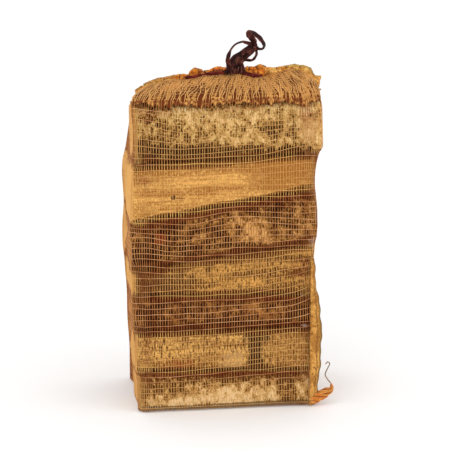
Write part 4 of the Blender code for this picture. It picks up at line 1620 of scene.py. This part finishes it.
            # Tone is random, deeper over the gaps between logs as painted shade, and paler on the shoulder as
            # painted highlight.
            tone = np.clip(chance.random() + self.gaps[j][columns] * 0.6 - 0.3 * gathered[j], 0, 1)
            strands.add(
                line, self.outward[j][columns], self.course_width * thin[j],
                self.thickness * (0.4 + 0.6 * thin[j]), tone, 1 - 0.4 * gathered[j],
                self.backing[j][columns], self.behind[j][columns],
            )
        shown = SHOWN_THROUGH if name == "net_front" else ()
        piece = strands.build(name, NET_YARN.material(name, shown), "net", shown)
        middle = self.grid[:, columns[len(columns) // 2]]
        tall = float(np.linalg.norm(np.diff(middle, axis=0), axis=1).sum())
        wide = (len(columns) - 1) * self.wale_gap
        self.cuts[name] = (wide, tall, strands.area)
        log.info("%s: %d wales, %.0f by %.0f mm flat", name, len(columns) - 1, wide / MM, tall / MM)
        return piece

    def tuck_in(self) -> bpy.types.Object:
        """Makes the cloth that the drawn mouth gathers in folds inside the shoulder of the bag."""
        columns = 2 * self.wales
        rows = np.arange(self.first_shoulder - 2, len(self.grid))
        height = np.arange(len(rows))
        column_at, row_at = np.meshgrid(np.arange(columns) / 2, rows.astype(float))
        fold = np.zeros((len(rows), columns))
        for k, turn in enumerate(angles(columns)):
            ragged = 2.2 * wobble(k / 2.6, 1.0, 6.0) + 2.6 * wobble(k / 15.0, 4.0, 6.0)
            row_at[:, k] -= max(-1.0, 1.0 + ragged) * (1 - smoothstep(0, 7, height))
            for j in range(len(rows)):
                wide = wobble(math.cos(turn) * 9, math.sin(turn) * 9, j / 11.0)
                fold[j, k] = wobble(k / 1.9, j / 8.0, 3.0) + wide * 0.5
        grid = self.sample(row_at, column_at)
        outward = self.directions(grid)
        free = smoothstep(-1, 5, row_at - self.first_shoulder)
        depth = self.tuck_start + (self.tuck_depth - self.tuck_start) * free
        depth *= (1 - 0.45 * smoothstep(14, 26, height))[:, None]
        near = grid - outward * (depth - 0.5 * MM * fold * free)[..., None]
        far = near - outward * (self.tuck_thickness * (0.45 + 0.55 * free))[..., None]
        # The tucked cloth's shade is painted: darker in its lowest rows and in the deeper hollows between
        # folds; alternate rows also differ.
        level = 0.54 - 0.22 * (1 - smoothstep(4, 15, height)) + np.where(rows % 2, 0.24, -0.2)
        shade = level[:, None] + 1.2 * fold
        return add_mesh(
            "tucked_cloth", np.concatenate([near, far[::-1]]).reshape(-1, 3),
            ring_faces(2 * len(rows), columns, looped=True), GatherFinish().material("tucked_cloth"),
            {"fold": np.concatenate([shade, shade[::-1]])}, outwards=False,
        )

    def build(self) -> None:
        """Builds the four sides of the net and the cloth that is tucked into its shoulder."""
        self.skin()
        panels = enumerate(self.panels().items())
        self.sides = {name: self.knit(name, columns, seed) for seed, (name, columns) in panels}
        self.tucked = self.tuck_in()
        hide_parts("net_bag")

    def declare(self, sewn_on: Sequence[bpy.types.Object]) -> None:
        for name, side in self.sides.items():
            width, length, yarn = self.cuts[name]
            with_pieces = [self.tucked, *sewn_on] if name == "net_front" else []
            area = max(yarn, self.least_cover * width * length)


HEM_FOOT = (
    (-120, 415), (-110, 423), (-94, 430), (-78, 433.5), (-62, 436.5), (-45, 437.5), (-33, 440), (0, 444),
    (20, 445), (40, 443), (60, 440), (75, 444), (90, 448), (107, 448), (120, 441), (131, 430), (138, 422),
)


def hem_foot(x: float) -> float:
    """The height in millimetres of the hem's lower edge at a place along it."""
    places, heights = zip(*HEM_FOOT)
    return float(np.interp(x, places, heights))


@dataclass(frozen=True)
class Knot:
    """The hem at one place along it: its top and bulge in millimetres, and how orange and olive it is."""

    x: float
    top: float
    bulge: float
    orange: float
    olive: float


@dataclass
class Hem:
    """The gathered hem: a channel of doubled net round the drawn mouth, in puffs and a thin fringe."""

    left: float = -113.0
    right: float = 134.0
    mouth: float = -23.4
    depth: float = 3.4 * MM
    steps: int = 1000
    around: int = 28
    squareness: float = 0.3
    end_lean: float = 0.25
    overhang: float = 0.8
    crease_length: float = 2.8
    crumple: float = 0.9
    rear_shift: float = 7
    rear_drop: float = 2.5
    least_height: float = 3.5
    knots: tuple[Knot, ...] = (
        Knot(-120, 418, 0.8, 0.0, 0.5), Knot(-113.6, 425.5, 0.9, 0.05, 0.6),
        Knot(-105.3, 431.5, 1.3, 0.1, 0.5), Knot(-100, 431.5, 1.0, 0.0, 0.7),
        Knot(-95.5, 437.5, 1.6, 0.15, 0.5), Knot(-88, 436, 1.0, 0.05, 0.7),
        Knot(-78.6, 439, 1.6, 0.2, 0.4), Knot(-70, 438.5, 1.4, 0.2, 0.6),
        Knot(-64.8, 443.2, 2.0, 0.35, 1.0), Knot(-62, 442.5, 2.4, 0.45, 0.4),
        Knot(-57, 446, 4.2, 0.6, 0.2), Knot(-50, 446.6, 5.0, 0.65, 0.1),
        Knot(-45.5, 445.4, 4.0, 0.7, 0.1), Knot(-43.6, 443.8, 2.6, 0.9, 0.1),
        Knot(-41, 450, 4.6, 1.0, 0.2), Knot(-34.8, 454.8, 6.2, 1.0, 0.9),
        Knot(-29.5, 452.4, 5.4, 1.0, 0.2), Knot(-25.4, 446.8, 2.6, 0.95, 0.0),
        Knot(-21, 445.6, 1.4, 0.9, 0.0), Knot(-18, 446.4, 2.4, 0.95, 0.0),
        Knot(-15.6, 450.8, 4.6, 1.0, 0.1), Knot(-9, 454.4, 6.4, 1.0, 0.1), Knot(-1, 455.6, 6.8, 1.0, 0.1),
        Knot(6, 454, 6.2, 1.0, 0.1), Knot(11.7, 450.5, 4.0, 0.95, 0.0), Knot(16, 448.5, 3.2, 0.9, 0.0),
        Knot(22.5, 452.9, 4.2, 0.95, 0.0), Knot(30, 452.8, 4.6, 0.95, 0.1),
        Knot(36, 455.6, 5.8, 1.0, 0.2), Knot(44, 454.6, 5.6, 1.0, 0.2), Knot(52.9, 458.2, 6.8, 1.0, 0.9),
        Knot(57, 456.6, 5.8, 0.95, 0.7), Knot(60, 452.9, 3.0, 0.5, 0.0), Knot(66, 453.6, 2.4, 0.1, 0.0),
        Knot(74, 453, 2.0, 0.1, 0.1), Knot(82, 454.6, 2.6, 0.4, 0.2), Knot(90.5, 454.8, 2.4, 0.25, 0.7),
        Knot(95, 456.6, 2.2, 0.1, 1.0), Knot(101.4, 457.4, 2.0, 0.0, 1.0),
        Knot(108, 455.8, 1.8, 0.0, 1.0), Knot(113, 455.8, 1.8, 0.0, 0.9),
        Knot(117.8, 453.8, 1.6, 0.0, 1.0), Knot(120.5, 448.5, 1.4, 0.1, 1.0),
        Knot(123.5, 444.2, 1.4, 0.2, 0.6), Knot(126.5, 441, 2.0, 0.2, 0.3),
        Knot(130, 441.6, 3.0, 0.25, 0.4), Knot(134, 441, 3.4, 0.3, 0.5), Knot(137, 437, 3.0, 0.3, 0.5),
    )

    def finish(self) -> bpy.types.Material:
        """Doubled net, bright orange on the puffs and olive in its rim, with painted shade in its creases."""
        recipe = Recipe("hem", 0.55)
        cloud = recipe.noise(150, 3)
        stitch = recipe.noise((620, 620, 420), 2)
        clouded = cloud.over(0.38, 0.62)
        colour = recipe.layered(
            srgb(250, 206, 120),
            (clouded, srgb(206, 148, 62)),
            (recipe.attribute("orange"), recipe.layered(srgb(240, 150, 54), (clouded, srgb(200, 98, 34)))),
            (recipe.attribute("inner") * 0.85, srgb(222, 140, 104)),
            (stitch.over(0.5, 0.7) * 0.65, srgb(146, 80, 26)),
            # Painted shade in the creases.
            (recipe.attribute("fold") * 0.95, srgb(96, 36, 16)),
            (recipe.attribute("rim") * (0.4 + cloud.over(0.35, 0.6) * 0.6), srgb(92, 78, 32)),
        )
        return recipe.finish(colour, stitch, 0.6 * MM)

    def profile(self, x: float, back: bool) -> tuple[float, ...]:
        """The hem's height over its lower edge, its bulge, and how orange and olive it is.

        Args:
            x: the place along the hem, in millimetres.
            back: whether it is on the hem's rear side, where the puffs lie lower and apart.

        Returns:
            Height and bulge in millimetres, orange and olive from 0 to 1.
        """
        places = [knot.x + (self.rear_shift if back else 0) for knot in self.knots]
        found = [float(np.interp(x, places, [getattr(knot, name) for knot in self.knots]))
                 for name in ("top", "bulge", "orange", "olive")]
        found[0] = max(self.least_height, found[0] - (self.rear_drop if back else 0) - hem_foot(x))
        return tuple(found)

    def build(self) -> bpy.types.Object:
        """Sweeps the channel round the mouth, puffed between its knots."""
        points, marks = [], {"rim": [], "fold": [], "orange": [], "inner": []}
        centre, half = (self.left + self.right) / 2, (self.right - self.left) / 2
        middle = at(centre, self.mouth, 0)
        for angle in angles(self.steps):
            side = math.copysign(abs(math.sin(angle)) ** self.squareness, math.sin(angle))
            run = Vector((math.cos(angle) * half * MM, side * self.depth, 0))
            out = Vector((math.cos(angle) * self.end_lean, side, 0)).normalized()
            x = centre + math.cos(angle) * half
            low = hem_foot(x)
            height, bulge, orange, olive = self.profile(x, side > 0)
            for turn in angles(self.around):
                level = 0.5 - 0.5 * math.cos(turn)
                crease = wobble(x / self.crease_length, side * 3 + level * 1.6, 5.1)
                waist = 1 - 0.35 * math.exp(-((level - 0.5) / 0.16) ** 2)
                away = math.sin(turn) * (bulge * waist + 0.8 * crease)
                spot = middle + run + out * (away + self.overhang * bulge * level ** 2) * MM
                spot.x += self.crumple * crease * level * MM
                spot.z = (low + height * level + self.crumple * crease * level) * MM
                points.append(spot)
                marks["rim"].append(max(0.0, (level - 0.62) / 0.38) * olive)
                # Painted shade in the creases that dip inwards, strongest on the larger puffs.
                marks["fold"].append(min(1.0, max(0.0, -crease * 2.4 - 0.1)) * min(1.0, bulge / 3))
                marks["orange"].append(orange)
                marks["inner"].append(math.exp(-((x - 1) / 9) ** 2 - ((level - 0.35) / 0.3) ** 2))
        faces = ring_faces(self.steps, self.around, looped=True)
        return add_mesh("hem", points, faces, self.finish(), marks)


@dataclass
class SideSeam:
    """The sewn side seam: a flat doubled edge of net that stands off the front right corner."""

    bottom: float = 2.0
    top: float = 204.0
    steps: int = 150
    edges: tuple = (
        (2, 119.5), (14, 122.5), (30, 124.2), (50, 126.0), (78, 127.8), (106, 128.0), (134, 126.0),
        (161, 120.6), (204, 116.5),
    )
    root: tuple[float, float] = (111.0, -97.6)
    depth: float = -92.5
    shares: tuple = (0.0, 0.2, 0.4, 0.6, 0.8, 0.92, 1.0)
    stitches_at: float = 0.62

    def finish(self) -> bpy.types.Material:
        """Golden doubled net with fine stitches and a grey-olive rim."""
        recipe = Recipe("side_seam", 0.55)
        stitch = recipe.noise((420, 420, 300), 2)
        colour = recipe.layered(
            srgb(214, 156, 78),
            (recipe.noise((90, 90, 60), 3).over(0.38, 0.62), srgb(172, 116, 50)),
            (stitch.over(0.5, 0.66) * 0.85, srgb(122, 76, 30)),
            (recipe.attribute("rim"), srgb(128, 100, 56)),
        )
        return recipe.finish(colour, stitch, 0.6 * MM)

    def wave(self, z: float, shift: float) -> float:
        """How far the edge waves at a height, in millimetres."""
        return 0.7 * math.sin(math.tau * z / 46 + shift) + 0.4 * math.sin(math.tau * z / 19 + shift * 3)

    def build(self) -> list[bpy.types.Object]:
        """Makes the doubled edge and its line of stitches."""
        points, rims, line = [], [], []
        heights, reaches = zip(*self.edges)
        for i in range(self.steps + 1):
            z = self.bottom + (self.top - self.bottom) * i / self.steps
            edge = float(np.interp(z, heights, reaches)) + self.wave(z, 0.4)
            depth = self.depth + 1.3 * self.wave(z, 1.9)
            taper = min(1.0, (self.top - z) / 30 + 0.15)
            for sign in (-1, 1):
                for share in self.shares[::-sign]:
                    x = self.root[0] + (edge - self.root[0]) * share
                    y = self.root[1] + (depth - self.root[1]) * share
                    half = 0.55 + 0.5 * math.sin(share * math.pi) + 0.25 * wobble(x / 3, z / 4, 1)
                    points.append(at(x, y + sign * half * taper, z))
                    rims.append(1.0 if share > 0.9 else 0.0)
            line.append(at(
                self.root[0] + (edge - self.root[0]) * self.stitches_at + (0.6 if i % 2 else -0.6),
                self.root[1] + (depth - self.root[1]) * self.stitches_at - 1.35 * taper, z,
            ))
        faces = ring_faces(self.steps + 1, 2 * len(self.shares))
        seam = add_mesh("side_seam", points, faces, self.finish(), {"rim": rims})
        stitches = Bundle()
        stitches.add(np.array(line), np.tile((0.0, -1.0, 0.0), (len(line), 1)), 0.7 * MM, 0.5 * MM, 0.5)
        sewn = stitches.build("seam_stitches", SEWING_YARN.material("seam_stitches"), "thread")
        face_outwards(sewn)
        return [seam, sewn]


@dataclass
class TwistedCorner:
    """The bag's bottom right corner, twisted into a tail."""

    route: tuple = (
        (113, -92, 8), (120, -92, 10.5), (127, -92, 14), (133.5, -92.5, 17.5), (139.5, -93, 20.5),
        (142.8, -93, 25), (141.2, -93, 30.5),
    )
    radii: tuple = (6.5, 8.2, 8.4, 7.2, 5.2, 3.0, 1.1)
    sides: int = 48
    steps: int = 16
    turns: float = 0.7

    def finish(self) -> bpy.types.Material:
        """Orange doubled net with painted shade in its folds, and pale stitches that are partly painted
        highlights.
        """
        recipe = Recipe("twisted_corner", 0.55)
        stitch = recipe.noise((600, 600, 500), 2)
        colour = recipe.layered(
            srgb(226, 156, 78),
            (recipe.noise(120, 3).over(0.35, 0.65), srgb(196, 112, 44)),
            # Painted shade in the inward folds, and pale pinkish flecks at the stitches that are painted
            # highlights.
            (recipe.attribute("fold").over(0.3, 0.9) * 0.85, srgb(120, 64, 26)),
            (stitch.over(0.55, 0.75) * 0.35, srgb(244, 186, 128)),
        )
        return recipe.finish(colour, stitch, 0.6 * MM)

    def build(self) -> bpy.types.Object:
        """Sweeps a folded, twisting outline along the tail."""
        path = smooth_line([at(*point) for point in self.route], self.steps)
        points, folds = [], []
        for i, (place, ahead, across) in enumerate(walk(path)):
            share = i / (len(path) - 1)
            radius = float(np.interp(share * (len(self.radii) - 1), range(len(self.radii)), self.radii)) * MM
            upward = ahead.cross(across)
            for angle in angles(self.sides):
                turn = angle - math.tau * self.turns * share
                rough = wobble(math.cos(turn) * 1.6, math.sin(turn) * 1.6, share * 4.0)
                fold = (0.80 + 0.10 * math.cos(5 * turn + 2.4 * rough) + 0.05 * math.cos(9 * turn + 1.0)
                        + 0.16 * rough)
                spread = across * math.cos(angle) + upward * math.sin(angle)
                points.append(place + spread * radius * fold)
                # The fold mark is painted shade, strongest where the outline dips inward.
                folds.append(1 - (fold - 0.6) / 0.4)
        faces = ring_faces(len(path), self.sides)
        return add_mesh("twisted_corner", points, faces, self.finish(), {"fold": folds})


@dataclass(frozen=True)
class Ribbon:
    """A stretch of tape: its route and, at each point, how far its face turns to the front.

    The route is in millimetres, and a turn of 0 degrees shows the tape edge-on.
    """

    name: str
    route: tuple[tuple[float, float, float], ...]
    turns: tuple[float, ...]
    width: float = 7.0
    hollow: float = 0.8


@dataclass
class Tie:
    """The dark drawstring tape: visible stretches in the hem, pleats, knot and loops."""

    depth: float = -37.5
    thickness: float = 0.7
    steps: int = 12
    across: int = 9
    pleats: int = 6
    wraps: int = 3
    knot: tuple[float, float] = (44.8, 480.3)
    loops: tuple[Ribbon, ...] = (
        Ribbon("top_loop", (
            (44, 0.5, 482), (43.4, -0.5, 487), (41.4, -2.5, 491.6), (37.8, -3.5, 495.4), (36, -2.5, 499.2),
            (41, -0.5, 499.8), (48.8, 1.5, 495.3), (55, 2.5, 488.5), (58, 2.5, 482.5), (54.2, 1.5, 478.4),
            (46, 0.5, 479),
        ), (70, 88, 88, 80, 50, 42, 46, 44, 36, 24, 20), 9.2),
        Ribbon("left_loop", (
            (10.5, -0.5, 452), (8.6, -1.5, 461), (8.6, -2.5, 468), (12.4, -3.5, 478), (18, -3.5, 484.6),
            (26, -2.5, 487.6), (33, -1.5, 487.0), (43, 0, 482.5),
        ), (60, 62, 46, 8, 3, 16, 40, 52)),
        Ribbon("right_loop", (
            (44.2, 0.3, 480.4), (46.9, -1.5, 473.5), (44.8, -2.7, 467.6), (39.8, -2.1, 463.8),
            (31, -0.4, 464.2),
        ), (50, 44, 42, 40, 44), 6.0),
    )
    woven: tuple[Ribbon, ...] = (
        Ribbon("hem_tape_left", (
            (-50, -27, 440.5), (-44, -34.5, 441.2), (-34, -37, 442.6), (-22, -36, 444.8), (-10, -36.5, 446.6),
            (2, -36, 447.6), (10, -30, 449),
        ), (90, 86, 84, 88, 86, 84, 86), 5.4, 0.3),
        Ribbon("hem_tape_right", (
            (9, -31, 448.8), (18, -37, 448.2), (30, -38, 446.4), (41, -38, 444.2), (51, -37, 442.2),
            (58, -28, 441.4),
        ), (90, 86, 84, 86, 84, 88), 5.6, 0.3),
    )

    def finish(self, name: str, dark: Colour, light: Colour) -> bpy.types.Material:
        """Maroon-black woven tape, paler and pinkish along its edges, a painted highlight."""
        recipe = Recipe(name, 0.45)
        weave = recipe.noise(900, 2)
        cloud = recipe.noise(150, 3)
        colour = recipe.layered(
            dark,
            (cloud.over(0.42, 0.72), light),
            # Painted highlight along the tape's edges.
            (recipe.attribute("rim") * cloud.over(0.4, 0.6) * 0.75, srgb(156, 104, 84)),
            (weave.over(0.5, 0.8) * 0.5, srgb(24, 6, 5)),
        )
        return recipe.finish(colour, weave, 0.3 * MM)

    def add_ribbon(self, ribbon: Ribbon, material: bpy.types.Material) -> bpy.types.Object:
        """Sweeps a slightly hollow flat section along a ribbon's route.

        Args:
            ribbon: the stretch of tape.
            material: its finish.

        Returns:
            The piece.
        """
        path = smooth_line([at(*point) for point in ribbon.route], self.steps)
        given = range(len(ribbon.turns))
        turns = np.interp(np.linspace(0, given[-1], len(path)), given, ribbon.turns)
        points, rims = [], []
        for i, (place, ahead, edge_on) in enumerate(walk(path)):
            turn = math.radians(float(turns[i]))
            side = edge_on * math.cos(turn) + ahead.cross(edge_on) * math.sin(turn)
            upward = ahead.cross(side)
            half = ribbon.width / 2 * (0.92 + 0.08 * math.sin(i * 0.5))
            for sign in (1, -1):
                for share in np.linspace(-1, 1, self.across)[::sign]:
                    dip = ribbon.hollow * (1 - share ** 2) + 0.22 * math.sin(share * 7 + i * 0.25)
                    rise = dip + sign * self.thickness / 2
                    points.append(place + side * share * half * MM + upward * rise * MM)
                    # The rim mark carries the painted highlight along the tape's edges.
                    rims.append(1.0 if abs(share) > 0.9 else 0.0)
        faces = ring_faces(len(path), 2 * self.across)
        return add_mesh(ribbon.name, points, faces, material, {"rim": rims}, smooth=50)

    def pleat(self, number: int) -> Ribbon:
        """One fold of the gathered stretch between the hem and the knot."""
        share = number / (self.pleats - 1)
        depth = self.depth - 1.2 + 1.3 * math.cos(number * 2.2)
        foot = (5.5 + 24.5 * share, depth, 446 + 1.5 * share)
        middle = (14.5 + 13 * share, depth - 0.8, 466 - 4.5 * share)
        top = (38.5 + 6.5 * share, self.depth - 0.5, 482.5 - 4.5 * share)
        near = tuple((a + b) / 2 for a, b in zip(foot, middle))
        far = tuple((a + b) / 2 for a, b in zip(middle, top))
        turns = (50, 56, 48, 58, 60) if number % 2 else (62, 48, 60, 50, 64)
        return Ribbon(f"pleat_{number + 1}", (foot, near, middle, far, top), turns, 5.4 - 0.8 * share, 1.5)

    def wrap(self, number: int) -> Ribbon:
        """One turn of the knot."""
        knot = Vector((self.knot[0], self.depth, self.knot[1]))
        tilt = 0.5 + 0.5 * number
        axis = Vector((math.cos(tilt), 0.25, math.sin(tilt))).normalized()
        one = axis.orthogonal().normalized()
        two = axis.cross(one)
        ring = [knot + (one * math.cos(a) + two * math.sin(a)) * (4.3 - 0.3 * number)
                for a in (math.pi / 4 * k for k in range(9))]
        return Ribbon(f"knot_wrap_{number + 1}", tuple(tuple(spot) for spot in ring), (70,) * 9, 3.6, 0.4)

    def moved_in(self, ribbon: Ribbon) -> Ribbon:
        """The same stretch of tape at the depth of the tie."""
        route = tuple((x, self.depth + y, z) for x, y, z in ribbon.route)
        return replace(ribbon, route=route)

    def build(self) -> None:
        """Builds every stretch of the tape."""
        material = self.finish("tape", srgb(36, 9, 6), srgb(92, 42, 34))
        stained = self.finish("hem_tape", srgb(72, 14, 10), srgb(136, 44, 26))
        loops = [self.add_ribbon(self.moved_in(loop), material) for loop in self.loops]
        for ribbon in (*map(self.pleat, range(self.pleats)), *map(self.wrap, range(self.wraps))):
            self.add_ribbon(ribbon, material)
        for ribbon in self.woven:
            self.add_ribbon(ribbon, stained)
        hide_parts("drawstring_tape")


def main() -> None:
    """Builds the whole scene in order."""
    Studio().build()
    SeamThread().build()
    LogStack().build()
    net = NetCloth()
    net.build()
    hem = Hem().build()
    seam = SideSeam().build()
    corner = TwistedCorner().build()
    net.declare([hem, *seam, corner])
    Tie().build()


if __name__ == "__main__":
    main()
